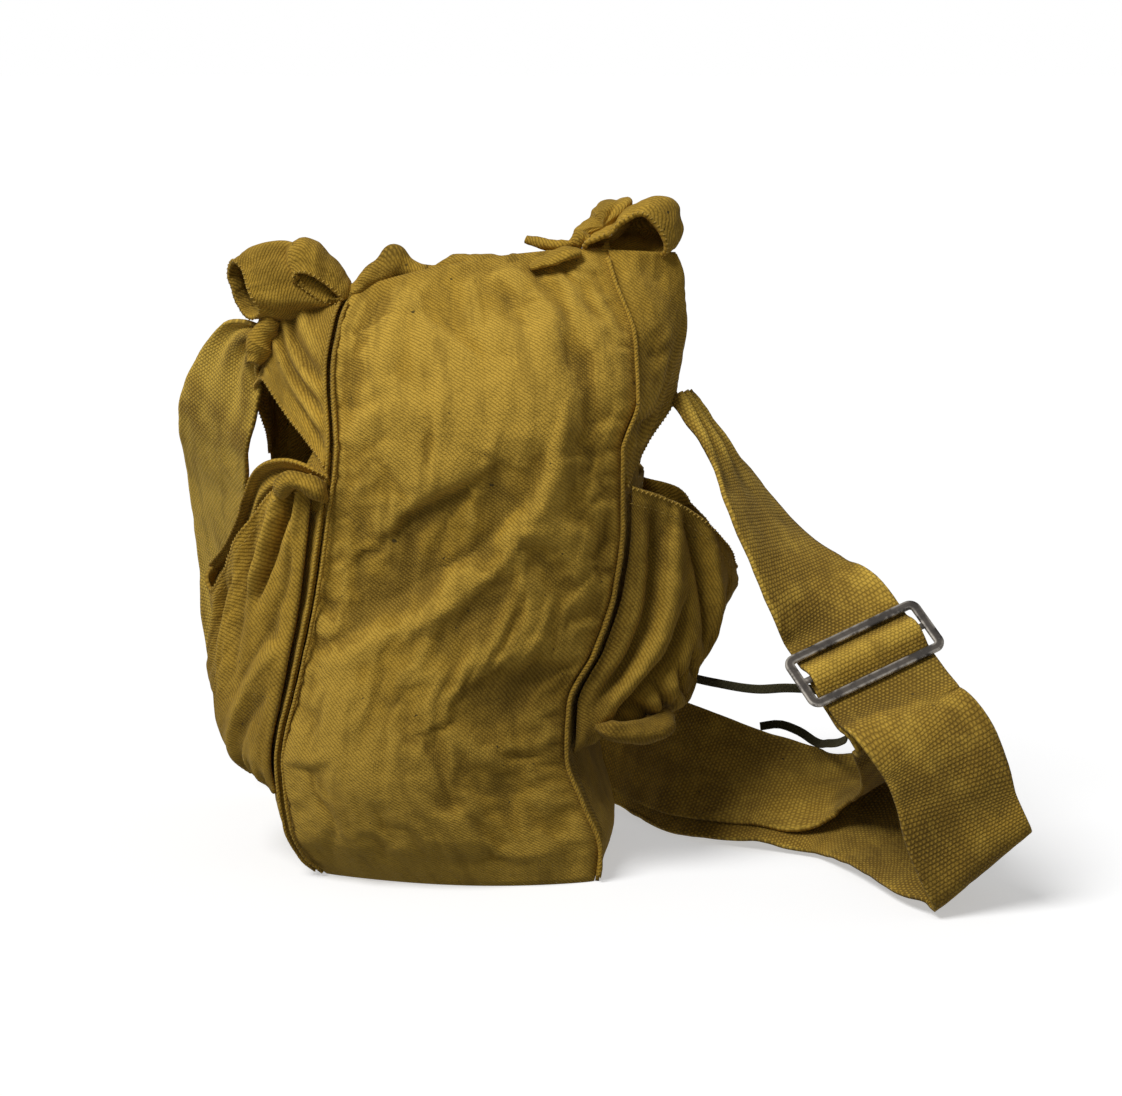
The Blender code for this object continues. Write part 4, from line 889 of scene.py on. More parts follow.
for name, (side, bulge, rim_rows, belly_rows) in pocket_shapes.items():
    place, share = np.meshgrid(np.linspace(pocket_inset, 1.0 - pocket_inset, 104), np.linspace(1.0, 0.0, 92))
    run = (place - pocket_inset) / (1.0 - 2.0 * pocket_inset)
    rim = read_rows(rim_rows, run, rounded=True)
    bottom = pocket_bottoms[name]
    height = bottom + (rim[..., 0] - bottom) * share
    full = np.sin(math.pi * np.clip(run, 0.0, 1.0)) ** 0.6
    profile = full + (rim[..., 1] - full) * share ** 2
    belly = read_rows(belly_rows, share)[..., 0]
    push = side_swell(place, height) + 0.0015 + 2.0 * cloth_thickness + bulge * belly * profile
    grid = side_points(side, place, height, push)
    across = edge_distance(grid.swapaxes(0, 1), last=side < 0).T
    down = edge_distance(grid)
    base = edge_distance(grid, last=True)
    sides = np.clip(np.minimum(run, 1.0 - run) * (1.0 - 2.0 * pocket_inset) / 0.05, 0.0, 1.0)[:, ::side]
    relief = folded(across, down, pocket_folds[name], 1.0, 1.0)
    relief = relief + 0.0014 * crumple(across, down, 0.020, 41 + side)
    relief = relief + 0.0006 * crumple(across, down, 0.007, 43, 2)
    relief = relief - 0.0015 * creased(across, 0.6 * down, 0.036, 49 + side, 0.045)
    ruffle = 0.0016 * np.sin(across / 0.0085 * 2.0 * math.pi + 2.0 * crumple(across, 0.0 * across, 0.02, 45))
    relief = relief + ruffle * np.exp(-(base / 0.012) ** 2)
    relief = relief * (0.15 + 0.85 * sides) * np.clip(base / 0.006, 0.15, 1.0) + hem(down, 0.0085, 0.0010)
    grid = raised(grid, relief)
    rims[name] = grid
    # Painted shade over the whole pocket, on top of the painted shade in its folds.
    sewn(name + "_cloth", grid, name, np.clip(fold_shade(grid, 0.0013, 20) - 0.25, -1.0, 1.0))


# Rolls of the pockets. The left pocket's hem ends at the front seam in a short roll
# over the first pleat; the right pocket's bottom seam is rolled under at its front.
def tapered(spots, radii, count, places=None):
    """Path through spots in millimetres, and a radius for each of its points."""
    path = smooth_path(np.array(spots) * 0.001, count)
    shares = np.linspace(0.0, 1.0, len(radii)) if places is None else places
    return path, np.interp(np.linspace(0.0, 1.0, count), shares, np.array(radii) * 0.001)


def wound(length, rows, columns):
    """Distance along a tube and share of a turn, for each point of its grid."""
    turns = np.linspace(0.0, 1.0, columns, endpoint=False)
    return np.meshgrid(np.linspace(0.0, length, rows), turns, indexing="ij")


def tube_piece(name, grid, node, fold=None):
    """Closed roll of cloth from a grid round a path, with painted shade in its grooves."""
    shade = fold_shade(grid, 0.0008, 6) if fold is None else fold
    placed(grid_mesh(name, grid, canvas, around=True, capped=True, fold=shade), node)


# For each roll: pocket, spots and radii in millimetres, flatness, seed
pocket_rolls = {
    "left_pocket_hem_tab": (
        "left_pocket",
        ((-74, -27.5, 160.5), (-72, -31, 165.5), (-68.5, -34, 168), (-63.5, -36, 167),
         (-58.5, -36, 163.5), (-55.5, -34, 160)),
        (2, 3.6, 4.2, 3.6, 1.8),
        0.9, 47),
    "right_pocket_bottom_roll": (
        "right_pocket",
        ((55, -30.5, 64.5), (60, -31.5, 63), (67.5, -28.5, 61.5), (75, -23.5, 61), (81.5, -18, 61.5),
         (86, -11, 65)),
        (2, 5.2, 6.4, 6, 3),
        0.8, 49)}
roll_length = 0.030
for name, (node, spots, radii, flat, seed) in pocket_rolls.items():
    path, size = tapered(spots, radii, 60, (0.0, 0.15, 0.5, 0.85, 1.0))
    across, upward = path_frame(path)
    grid = tube_grid(path, across, upward, ring_profile(36, flat), size)
    along, turn = wound(roll_length, 60, 36)
    groove = (turn + 0.20 * along / roll_length - 0.70) % 1.0 - 0.2
    relief = 0.0009 * crumple(along, 0.005 * np.sin(2 * math.pi * turn), 0.006, seed)
    grid = raised(grid, relief - 0.0013 * np.exp(-(groove / 0.06) ** 2))
    # Painted shade over the whole roll, on top of the painted shade in its grooves.
    tube_piece(name, grid, node, fold=fold_shade(grid, 0.0008, 6) - 0.30)


# Rear rims of the pockets. The pockets' inner walls show over their outer ones as a
# second hemmed edge, which runs from the front seam round to the rear corner.
def lofted(sections, rows, columns, closed=False):
    """Grid through a few curves in millimetres, from the first of them to the last."""
    curves = np.stack([smooth_path(np.array(section) * 0.001, columns, closed) for section in sections])
    place = running(np.linalg.norm(np.diff(curves, axis=0), axis=-1).mean(axis=1))
    table = np.column_stack([place, curves.reshape(len(curves), -1)])
    return read_rows(table, np.linspace(0.0, place[-1], rows), rounded=True).reshape(rows, columns, 3)


# For each rim: width and lift of its hem, its rolled cord, lumps, seed, edges from the
# top down in millimetres
rear_rims = {
    "left_pocket": (
        0.004, 0.0006, 1, 0.0007, 51,
        (((-109.5, 19, 124.5), (-103, 12, 132.5), (-97, 4, 143.5), (-91.5, -5, 158), (-86, -14, 169.5),
          (-79, -21, 174.5), (-70, -27, 175.5), (-61, -31.5, 173), (-54.5, -33, 170)),
         ((-107, 19, 117), (-99.5, 13, 124), (-92, 5, 134), (-86, -4, 148), (-80.5, -13, 158.5),
          (-74, -20, 164), (-67, -26, 166), (-60, -30, 165), (-54.5, -32.5, 162)),
         ((-103, 18, 106), (-95, 13, 112), (-87, 6, 122), (-81, -3, 134), (-76, -12, 145),
          (-70, -19, 151), (-64, -25, 154), (-58.5, -29, 154), (-54.5, -32, 152)))),
    "right_pocket": (
        0.006, 0.0008, 0, 0.0008, 53,
        (((58, -33, 165), (66, -26, 162.5), (74, -14, 158.5), (81, -2, 156.5), (89.5, 6, 152),
          (99, 12, 142), (108.5, 15, 128.5), (111, 18, 124)),
         ((58, -32, 158), (65, -25, 155), (72, -14, 150.5), (78, -3, 147.5), (85.5, 5, 143),
          (94, 11, 134), (103.5, 14, 122), (107, 18, 117)),
         ((58, -31, 148), (64, -24, 145), (70, -14, 140), (75, -4, 136), (81.5, 4, 131), (89, 9, 123),
          (98, 12, 112), (102, 17, 108))))}
for node, (width, lift, rolled, lumps, seed, edges) in rear_rims.items():
    grid = lofted(edges, 30, 84)
    down = edge_distance(grid)
    along = edge_distance(grid.swapaxes(0, 1)).T
    cord = 0.0018 * np.exp(-((down - 0.010) / 0.0022) ** 2)
    cord = cord - 0.0020 * np.exp(-((down - 0.0055) / 0.0016) ** 2)
    relief = rolled * cord + hem(down, width, lift) + lumps * crumple(along, down, 0.012, seed)
    name = node + "_rear_rim"
    rims[name] = raised(grid, relief)
    sewn(name, rims[name], node)


# Welts. The seams are folded, raised and stitched down: two cords with a dark channel
# between them on the left, one whipped ridge on the right, single ridges at the back.
def outward_of_seam(side, front, heights):
    """Points on a corner seam, the way the corner faces, and the way along the side."""
    zero = np.zeros(len(heights))
    here = side_points(side, zero if front else zero + 1.0, heights, zero)
    there = side_points(side, zero + 0.5, heights, zero)
    away = unit((here - there) * (1.0, 1.0, 0.0))
    out = side * np.stack([away[:, 1], -away[:, 0], zero], axis=-1)
    return here, away, -out if front else out


def welt_grid(path, face, radius, flat, sides=12):
    """Tube along a seam, flattened across the way it faces."""
    ahead = unit(np.gradient(path, axis=0))
    face = unit(face - (face * ahead).sum(axis=-1, keepdims=True) * ahead)
    return tube_grid(path, np.cross(ahead, face), face, ring_profile(sides, flat), radius), face


stitch_lines = []
# For each welt: side, front or back, share of height at its top, and its cords, each
# with its shift round the corner, lift and radius
welt_rows = {
    "front_left_welt": (-1, True, 0.985, ((-0.0006, 0.0000, 0.0008), (0.0030, -0.0004, 0.0008))),
    "front_right_welt": (1, True, 0.985, ((0.0002, 0.0000, 0.0010),)),
    "back_left_welt": (-1, False, 0.74, ((0.0002, 0.0000, 0.0010),)),
    "back_right_welt": (1, False, 0.70, ((0.0002, 0.0000, 0.0010),))}
for name, (side, front, top, cords) in welt_rows.items():
    heights = np.linspace(top, 0.0095, 150)
    here, away, out = outward_of_seam(side, front, heights)
    corner = unit(away + out)
    for number, (shift, lift, radius) in enumerate(cords):
        path = here + out * (cloth_thickness + 0.0004) + away * (radius + 0.0006) + corner * lift
        path = path - (out - away) * shift * 0.7
        wobble = 0.00035 * crumple(heights * bag_height, 0.0 * heights, 0.006, 61 + number)
        path = path + corner * wobble[:, None]
        thick = radius * (1.0 + 0.12 * crumple(heights * bag_height, 0.0 * heights + 1.0, 0.004, 63 + number))
        grid, faces = welt_grid(path, corner, thick, 0.8)
        grid[..., 2] = np.maximum(grid[..., 2], 2.0 * floor_gap)
        label = name + "_cord" + (str(number + 1) if len(cords) > 1 else "")
        tube_piece(label, grid, name, fold=np.full(grid.shape[:2], 0.28))
        stitch_lines.append((path + faces * thick[:, None] * 0.72, faces))


# Mouth. The hem of the mouth is rolled up tight over the front's top edge and stands
# up in one sharp fold at the left.
# Spots along the mouth's edge with the roll's radius, in millimetres
mouth_spots = (
    (-49, -5, 240, 3), (-45, -4, 243, 3.6), (-40, -3, 246.5, 4.4), (-34.5, -1.5, 249, 5),
    (-29, 0, 251, 5.4), (-22, 1, 249.5, 5.2), (-14.5, 1, 247.5, 4.6), (-6, 0.5, 251, 5), (3, 0, 253, 5.2),
    (14, -1, 252, 5.4), (24, -2, 252, 5), (34, -2, 253.5, 4.2), (44, -1, 256, 3.4))
mouth_table = np.array(mouth_spots)
mouth_path, mouth_size = tapered(mouth_table[:, :3], mouth_table[:, 3], 120)
mouth_across, mouth_up = path_frame(mouth_path)
mouth_ring = ring_profile(28)
mouth_grid = tube_grid(mouth_path, mouth_across, mouth_up, mouth_ring, mouth_size)
peak = np.exp(-((mouth_path[:, 0] + 0.029) / 0.0065) ** 2)
top_share = np.clip(mouth_ring[:, 1], 0.0, 1.0) ** 3
mouth_grid[..., 2] += 0.0052 * peak[:, None] * top_share[None, :]
along, turns = np.meshgrid(np.linspace(0.0, 0.1, 120), np.linspace(0.0, 0.03, 28), indexing="ij")
relief = 0.0009 * crumple(along, turns, 0.011, 71) + 0.0005 * crumple(along, turns, 0.004, 72, 2)
relief = relief + 0.0006 * np.sin(along / 0.013 * 2 * math.pi + turns / 0.03 * 2 * math.pi)
mouth_grid = raised(mouth_grid, relief)
# Painted shade in the roll's creases, worn and painted lighter on its ridges.
tube_piece("mouth_roll_cloth", mouth_grid, "mouth_roll", fold=fold_shade(mouth_grid, 0.0010, 8))


# Strap. One coarse webbing 50 mm wide: down from the right ear, through the slide
# buckle, folded on the floor, behind the bag and up to the knot at the left ear.
webbing = cloth_material("coarse_webbing", (0.420, 0.250, 0.030), (0.740, 0.480, 0.070),
                         (0.270, 0.156, 0.020), "basket", 0.00030, 0.4, 0.10)
webbing_width = 0.050
webbing_thickness = 0.0018
strap_reach = 0.113
# Stations of the strap: place in shares of the bag's sizes, the way one edge points
# and the share of the webbing's width that is spread out there
strap_down = (
    (2.03, 0.06, 0.794, (0.45, 0.88, 0.1), 0.22), (2.087, 0.022, 0.758, (0.3, 0.95, 0.08), 0.4), (2.156,
    -0.011, 0.716, (0.25, 0.96, 0.05), 0.62), (2.243, -0.067, 0.652, (0.38, 0.92, 0.03), 0.84), (2.305,
    -0.133, 0.608, (0.42, 0.9, 0.03), 0.95), (2.404, -0.23, 0.544, (0.58, 0.81, 0.06), 1.0), (2.491, -0.31,
    0.496, (0.76, 0.6, 0.16), 1.0))
strap_fold = (
    (2.81, -0.856, 0.322, (0.91, 0.32, 0.26), 1.0), (2.9, -0.922, 0.276, (0.9, 0.31, 0.3), 1.0), (2.955,
    -0.944, 0.22, (0.9, 0.3, 0.31), 1.0), (2.991, -0.956, 0.16, (0.89, 0.28, 0.36), 1.0), (3.036, -0.96,
    0.112, (0.84, 0.25, 0.46), 1.0), (3.067, -0.94, 0.082, (0.8, 0.22, 0.56), 1.0), (3.071, -0.895, 0.07,
    (0.79, 0.22, 0.57), 1.0), (3.053, -0.845, 0.072, (0.8, 0.26, 0.53), 1.0), (2.991, -0.7, 0.06,
    (0.82, 0.42, 0.38), 1.0), (2.902, -0.4, 0.058, (0.82, 0.45, 0.36), 1.0), (2.797, -0.1, 0.06,
    (0.7, 0.58, 0.42), 1.0), (2.673, 0.14, 0.062, (0.42, 0.76, 0.48), 1.0), (2.522, 0.26, 0.062,
    (0.2, 0.84, 0.5), 1.0), (2.381, 0.33, 0.072, (0.12, 0.82, 0.56), 1.0), (2.239, 0.4, 0.078,
    (0.06, 0.76, 0.64), 1.0), (2.097, 0.52, 0.084, (0.04, 0.66, 0.74), 1.0), (1.814, 0.76, 0.092,
    (0.06, 0.5, 0.86), 1.0), (1.15, 1.06, 0.1, (0.08, 0.3, 0.95), 1.0), (0.6, 1.23, 0.106,
    (0.04, 0.12, 0.99), 1.0), (0.0, 1.27, 0.108, (0.0, 0.04, 1.0), 1.0), (-0.6, 1.2, 0.112,
    (0.04, -0.06, 1.0), 1.0), (-1.585, 1.12, 0.14, (0.2, -0.26, 0.94), 1.0), (-2.151, 1.02, 0.22,
    (0.4, -0.5, 0.76), 1.0), (-2.257, 0.9, 0.34, (0.46, -0.76, 0.44), 1.0), (-2.292, 0.77, 0.47,
    (0.48, -0.86, 0.1), 1.0), (-2.297, 0.59, 0.59, (0.54, -0.84, -0.02), 1.0), (-2.288, 0.43, 0.68,
    (0.62, -0.77, -0.08), 1.0), (-2.271, 0.34, 0.732, (0.67, -0.72, -0.16), 0.98), (-2.235, 0.275, 0.778,
    (0.67, -0.68, -0.28), 0.92), (-2.193, 0.222, 0.822, (0.62, -0.62, -0.46), 0.8), (-2.15, 0.165, 0.858,
    (0.52, -0.5, -0.68), 0.62), (-2.105, 0.075, 0.876, (0.4, -0.44, -0.8), 0.42), (-2.06, 0.0, 0.88,
    (0.3, -0.4, -0.86), 0.3))
return_drop = (
    (2.788, -0.72, 0.318, (0.9, 0.34, 0.28), 1.0), (2.844, -0.52, 0.262, (0.87, 0.42, 0.26), 1.0), (2.872,
    -0.26, 0.2, (0.78, 0.58, 0.24), 1.0), (2.832, 0.02, 0.148, (0.6, 0.78, 0.2), 1.0), (2.735, 0.2, 0.116,
    (0.36, 0.9, 0.26), 1.0))
# Ways through the buckle: place down it in shares of its height, steps over its plate
through_buckle = (
    (-0.8, -1.0), (-0.52, -1.0), (-0.32, -1.0), (-0.13, 0.45), (0.0, 1.0), (0.13, 0.45), (0.32, -1.0),
    (0.52, -1.0), (0.8, -1.0))
behind_buckle = (
    (-0.06, -1.0), (0.12, -1.55), (0.32, -2.4), (0.52, -2.5), (0.8, -2.6))


def strap_place(x, y, z):
    """A place on the strap's way: shares of half the bag's width, ear reach and strap reach."""
    side, reach = (1.0, 0.027) if x > 0 else (-1.0, 0.017)
    share = abs(x)
    across = (min(share, 1.0) * bag_width / 2 + min(max(share - 1.0, 0.0), 1.0) * reach
              + max(share - 2.0, 0.0) * strap_reach)
    return (side * across, y * bag_depth, z * bag_height)


buckle_middle = np.array(strap_place(2.673, -0.567, 0.400))
buckle_down = unit((0.45, -0.65, -0.61))
buckle_along = np.array((0.92, 0.22, 0.31))
buckle_along = unit(buckle_along - buckle_along.dot(buckle_down) * buckle_down)
buckle_face = np.cross(buckle_down, buckle_along)
buckle_height = 0.027
buckle_bar = 0.0048
buckle_plate = 0.0018


def scaled(stations):
    """Strap stations with their places taken from shares to metres."""
    return [(*strap_place(*row[:3]), *row[3:]) for row in stations]


def buckle_stations(rows):
    """Strap stations through the buckle, from places down it and steps over its plate."""
    step = 0.5 * (buckle_plate + webbing_thickness) + 0.00075
    spots = [buckle_middle + buckle_down * place * buckle_height + buckle_face * height * step
             for place, height in rows]
    return [(*spot, tuple(buckle_along), 1.0) for spot in spots]


def ribbon_frames(stations, count):
    """Centres, edge directions, normals, width shares and distances along strap stations."""
    centres = np.array([row[:3] for row in stations])
    place = running(np.linalg.norm(np.diff(centres, axis=0), axis=1))
    rows = [(place[k], *centres[k], *unit(stations[k][3]), stations[k][4]) for k in range(len(stations))]
    at = place if count is None else np.linspace(0.0, place[-1], count)
    read = read_rows(rows, at, rounded=True)
    centre = read[:, :3]
    ahead = unit(np.gradient(centre, at, axis=0))
    edge = unit(read[:, 3:6] - (read[:, 3:6] * ahead).sum(axis=1, keepdims=True) * ahead)
    return centre, edge, np.cross(ahead, edge), read[:, 6], at


def ribbon_grid(stations, count, seed):
    """Grid of webbing along its stations: creased where it is gathered, wavy at its edges."""
    centre, edge, normal, share, at = ribbon_frames(stations, count)
    s = np.linspace(-0.5, 0.5, 30)
    grid = centre[:, None] + edge[:, None] * (webbing_width * share[:, None] * s)[..., None]
    along, across = np.meshgrid(at, webbing_width * s, indexing="ij")
    gathered = np.clip(1.0 - share, 0.0, 1.0)[:, None]
    relief = 0.0035 * gathered * np.sin(2 * math.pi * (2.6 * s[None, :] + 0.6 * at[:, None] / 0.05))
    relief = relief + 0.0012 * crumple(along, across, 0.034, seed)
    relief = relief + 0.0005 * crumple(along, across, 0.010, seed + 1)
    margin = np.abs(2.0 * s)[None, :] ** 4
    relief = relief + 0.0009 * margin * crumple(along, across + 0.03 * np.sign(across), 0.014, seed + 2, 2)
    near_buckle = np.linalg.norm(centre - buckle_middle, axis=1)[:, None]
    relief = relief * np.clip((near_buckle - 0.012) / 0.015, 0.06, 1.0)
    grid = grid + normal[:, None] * relief[..., None]
    grid[..., 2] = np.maximum(grid[..., 2], 0.5 * webbing_thickness + 3.0 * floor_gap)
    worn_edge = 0.55 * np.clip((np.abs(2.0 * s) - 0.93) / 0.07, 0.0, 1.0)[None, :]
    return grid, worn_edge, np.stack([across, -along], axis=-1)


def webbing_piece(name, stations, count, seed, node):
    """Length of webbing, with painted light near the left knot and painted shade where it lies low to the
    right.
    """
    grid, worn_edge, uv = ribbon_grid(stations, count, seed)
    # Painted light near the left knot; painted shade low at the right and on the floor; painted shade in its
    # creases.
    painted_light_near_knot = np.clip((-0.068 - grid[..., 0]) / 0.015, 0.0, 1.0)
    low_darkening = np.clip((grid[..., 0] - 0.13) / 0.03, 0.0, 1.0)
    low_darkening = low_darkening * np.clip((0.120 - grid[..., 2]) / 0.03, 0.0, 1.0)
    shade = fold_shade(grid, 0.0012, 20) + worn_edge + 0.85 * painted_light_near_knot - 0.85 * low_darkening
    piece = grid_mesh(name, grid, webbing, fold=np.clip(shade, -1.0, 1.0), uv=uv)
    as_sheet(piece, node, webbing_thickness, offset=0.0)


fold_stations = scaled(strap_fold)
long_stations = scaled(strap_down) + buckle_stations(through_buckle) + fold_stations
webbing_piece("strap_long_webbing", long_stations, 330, 81, "strap_long")
centre, edge, normal, share, _ = ribbon_frames(fold_stations, None)
spots = centre - normal * 0.0040 + edge * 0.0070
laid = [(*spots[k], tuple(edge[k]), share[k]) for k in range(12, 20)]
return_stations = buckle_stations(behind_buckle) + scaled(return_drop) + laid
webbing_piece("strap_return_webbing", return_stations, 160, 91, "strap_return")


# Slide buckle. A flat frame stamped from dark steel, with rounded corners, soft edges
# worn to bare metal and a middle bar that the webbing passes over.
def worn_steel():
    """Browned steel with bare, brighter edges, fine scratches and dull patches."""
    made = bpy.data.materials.new("browned_steel")
    made.use_nodes = True
    tree = made.node_tree
    shader = tree.nodes["Principled BSDF"]
    place = tree.nodes.new("ShaderNodeTexCoord").outputs["Object"]
    stretch = tree.nodes.new("ShaderNodeMapping")
    stretch.inputs["Scale"].default_value = (1.0, 1.0, 9.0)
    tree.links.new(place, stretch.inputs["Vector"])
    scratches = noise(tree, stretch.outputs[0], 520.0, 3.0, 0.75)
    patches = noise(tree, place, 160.0, 4.0, 0.65)
    edge_wear = tree.nodes.new("ShaderNodeAttribute")
    edge_wear.attribute_name = "fold"
    bare = calc(tree, "MULTIPLY", edge_wear.outputs["Fac"], between(tree, patches, 0.36, 0.62))
    bare = calc(tree, "MAXIMUM", bare, calc(tree, "MULTIPLY", between(tree, scratches, 0.66, 0.76), 0.55))
    browned = mixed(tree, between(tree, patches, 0.35, 0.65), (0.045, 0.038, 0.032), (0.095, 0.080, 0.066))
    tree.links.new(mixed(tree, bare, browned, (0.52, 0.48, 0.42)), shader.inputs["Base Color"])
    tree.links.new(calc(tree, "MULTIPLY_ADD", patches, 0.25, 0.42), shader.inputs["Roughness"])
    shader.inputs["Metallic"].default_value = 0.50
    tree.links.new(bumped(tree, patches, 0.00008, strength=0.5), shader.inputs["Normal"])
    return made


steel = worn_steel()
buckle_length = webbing_width + 2.0 * (0.0014 + buckle_bar)
frame_rows = []
for quarter, signs in enumerate(((1, 1), (-1, 1), (-1, -1), (1, -1))):
    corner = np.array(signs) * (buckle_length / 2 - buckle_bar, buckle_height / 2 - buckle_bar)
    for step in range(9):
        angle = math.radians(90 * quarter + 11.25 * step)
        turn = np.array((math.cos(angle), math.sin(angle)))
        frame_rows.append((corner + buckle_bar * turn, corner + 0.0009 * turn))
frame_rows.append(frame_rows[0])
half_plate = 0.5 * buckle_plate
soft_edge = 0.00045
# Section of the frame in shares of its soft edge: inset, below nought from the inner
# edge; face of the plate; step down from that face; bareness of the metal
buckle_section = (
    (0.0, -1, 1.0, 1.0), (0.0, 1, 1.0, 1.0), (0.35, 1, 0.3, 1.0), (1.0, 1, 0.0, 0.7), (2.6, 1, 0.0, 0.0),
    (-2.6, 1, 0.0, 0.0), (-1.0, 1, 0.0, 0.7), (-0.35, 1, 0.3, 1.0), (-0.0001, 1, 1.0, 1.0),
    (-0.0001, -1, 1.0, 1.0), (-1.0, -1, 0.0, 0.7), (-2.6, -1, 0.0, 0.0), (2.6, -1, 0.0, 0.0),
    (1.0, -1, 0.0, 0.7))
rings, wear = [], []
for outer, inner in frame_rows:
    inward = unit(inner - outer)
    ring = []
    for inset, face, down, bareness in buckle_section:
        flat = (outer if inset >= 0.0 else inner) + inward * inset * soft_edge
        high = face * (half_plate - down * soft_edge)
        ring.append(buckle_middle + buckle_along * flat[0] + buckle_down * flat[1] + buckle_face * high)
        wear.append(bareness)
    rings.append(ring)
buckle_grid = np.array(rings)
buckle_wear = np.array(wear).reshape(buckle_grid.shape[:2])
slide_buckle = grid_mesh("slide_buckle_frame", buckle_grid, steel, around=True, fold=buckle_wear)


def close_shell(thing):
    """Merges the doubled ends of a shell and turns its faces outwards."""
    shell = bmesh.new()
    shell.from_mesh(thing.data)
    bmesh.ops.remove_doubles(shell, verts=shell.verts, dist=1e-7)
    bmesh.ops.recalc_face_normals(shell, faces=shell.faces)
    shell.to_mesh(thing.data)
    shell.free()
    thing.data.shade_smooth()


close_shell(slide_buckle)
placed(slide_buckle, "slide_buckle")
bar_length = buckle_length - 1.2 * buckle_bar
bar_path = buckle_middle + buckle_along * np.linspace(-0.5, 0.5, 24)[:, None] * bar_length
bar_across = np.broadcast_to(buckle_down, bar_path.shape)
bar_up = np.broadcast_to(buckle_face, bar_path.shape)
bar_grid = tube_grid(bar_path, bar_across, bar_up, ring_profile(14), np.tile((0.0015, 0.0008), (24, 1)))
buckle_rod = grid_mesh("slide_buckle_bar", bar_grid, steel, around=True, capped=True,
                       fold=np.full((24, 14), 0.3))
close_shell(buckle_rod)
placed(buckle_rod, "slide_buckle")


# Bows. The strap's ends are pulled through and tied: at the left a wide sleeve that
# opens to the front left with a second loop over it, at the right an arched loop.
bow_thickness = 0.0018


def bow_piece(name, sections, rows, columns, node, seed, lines=(), lumps=0.0010, pinched=(-1,)):
    """One loop of a bow: a hemmed sleeve with folds that run to its tied end, with painted shade in them."""
    grid = lofted(sections, rows, columns, closed=True)
    far = edge_distance(grid)
    turn = np.linspace(0.0, 1.0, columns, endpoint=False)[None, :] * np.ones((rows, 1))
    relief = lumps * crumple(far * 0.5, 0.03 * np.sin(2 * math.pi * turn), 0.010, seed)
    deep = np.clip(far / far.max(), 0.0, 1.0)
    for strength, where, width in lines:
        off = np.abs((turn - where + 0.5) % 1.0 - 0.5)
        relief = relief + strength * (0.3 + 0.7 * deep) * np.exp(-(off / width) ** 2)
    grid = raised(grid, relief + hem(far, 0.006, 0.0006))
    for row in pinched:
        middle = grid[row].mean(axis=0)
        grid[row] = middle + 0.06 * (grid[row] - middle)
    piece = grid_mesh(name, grid, canvas, around=True, fold=fold_shade(grid, 0.0011, 10, around=True))
    as_sheet(piece, node, bow_thickness)
    rims[name] = grid


# Sections of the bows in millimetres, each from its open end inwards. The folds are
# given by their strength, their place as a share of a turn and their width.
left_bow_sections = (
    ((-88, -8, 244), (-90.5, -5, 251), (-94, -1, 253.5), (-97, 3, 249), (-95, 3, 240.5), (-88, -2, 231.5),
     (-84, -6.5, 234.5)),
    ((-82, -10.5, 245), (-85, -7, 256), (-88.5, 2, 259.5), (-92, 9, 251), (-88.5, 9, 238.5),
     (-80.5, 0, 229.8), (-77, -8, 234)),
    ((-70, -9, 246.5), (-72, -4, 258), (-74, 6, 262), (-76, 16, 253), (-74, 13, 238), (-69, 2, 229.8),
     (-67.5, -7.5, 235)),
    ((-60, -7.5, 243.5), (-61, -3, 252), (-62, 6, 256.5), (-62, 15, 250), (-61, 13, 238), (-59, 2, 231.5),
     (-58, -6.5, 236)),
    ((-52, -5, 241), (-52.5, -2, 246.5), (-53, 6, 250), (-53, 12, 246), (-52, 10, 238.5), (-51, 2, 235.5),
     (-50.5, -4, 237.5)),
    ((-46.5, -2.5, 241), (-46.8, -1, 243.5), (-47, 5, 245.5), (-47, 9, 243.5), (-46.5, 8, 240),
     (-46, 2, 238.5), (-46, -2, 239)))
bow_piece("left_bow_sleeve", left_bow_sections, 70, 88, "left_bow", 101,
          lines=((-0.0022, 0.13, 0.030), (0.0016, 0.21, 0.035), (-0.0024, 0.86, 0.030), (0.0020, 0.93, 0.035),
                 (-0.0016, 0.45, 0.05)))
left_fold_sections = (
    ((-50.5, -9, 239.6), (-54, -9.5, 243.6), (-60, -10, 248.2), (-65, -10, 250.4), (-68.6, -9, 249.6),
     (-66.8, -9, 246.6), (-62, -9, 242.8), (-55.5, -8.5, 239.2)),
    ((-46.5, -7, 241), (-50.5, -8, 248), (-58, -8.5, 255.5), (-65, -8.5, 260), (-71.5, -7.5, 257.5),
     (-71.5, -7, 250.5), (-65, -6.5, 242.5), (-54.5, -6, 238)),
    ((-45.5, -2, 242), (-49.5, -2, 251), (-58, -2, 260), (-65.5, -2, 264.3), (-72.5, -2, 260.5),
     (-73, -2, 251.5), (-66, -1, 242), (-54, 0, 238)),
    ((-47, 7, 242.5), (-50.5, 7, 250), (-58, 7, 257.5), (-64.5, 7, 261), (-70, 7, 258), (-70.5, 7, 251),
     (-65, 7, 243.5), (-54.5, 7, 239.5)),
    ((-54, 13, 246), (-55.5, 13, 248.5), (-59, 13, 251.5), (-62, 13, 253), (-64.5, 13, 252),
     (-64.5, 13, 249), (-62, 13, 246.5), (-57, 13, 244.8)))
bow_piece("left_bow_band", left_fold_sections, 54, 100, "left_bow_fold", 107,
          lines=((-0.0010, 0.22, 0.03), (0.0010, 0.30, 0.03), (-0.0012, 0.55, 0.03)), lumps=0.0008)
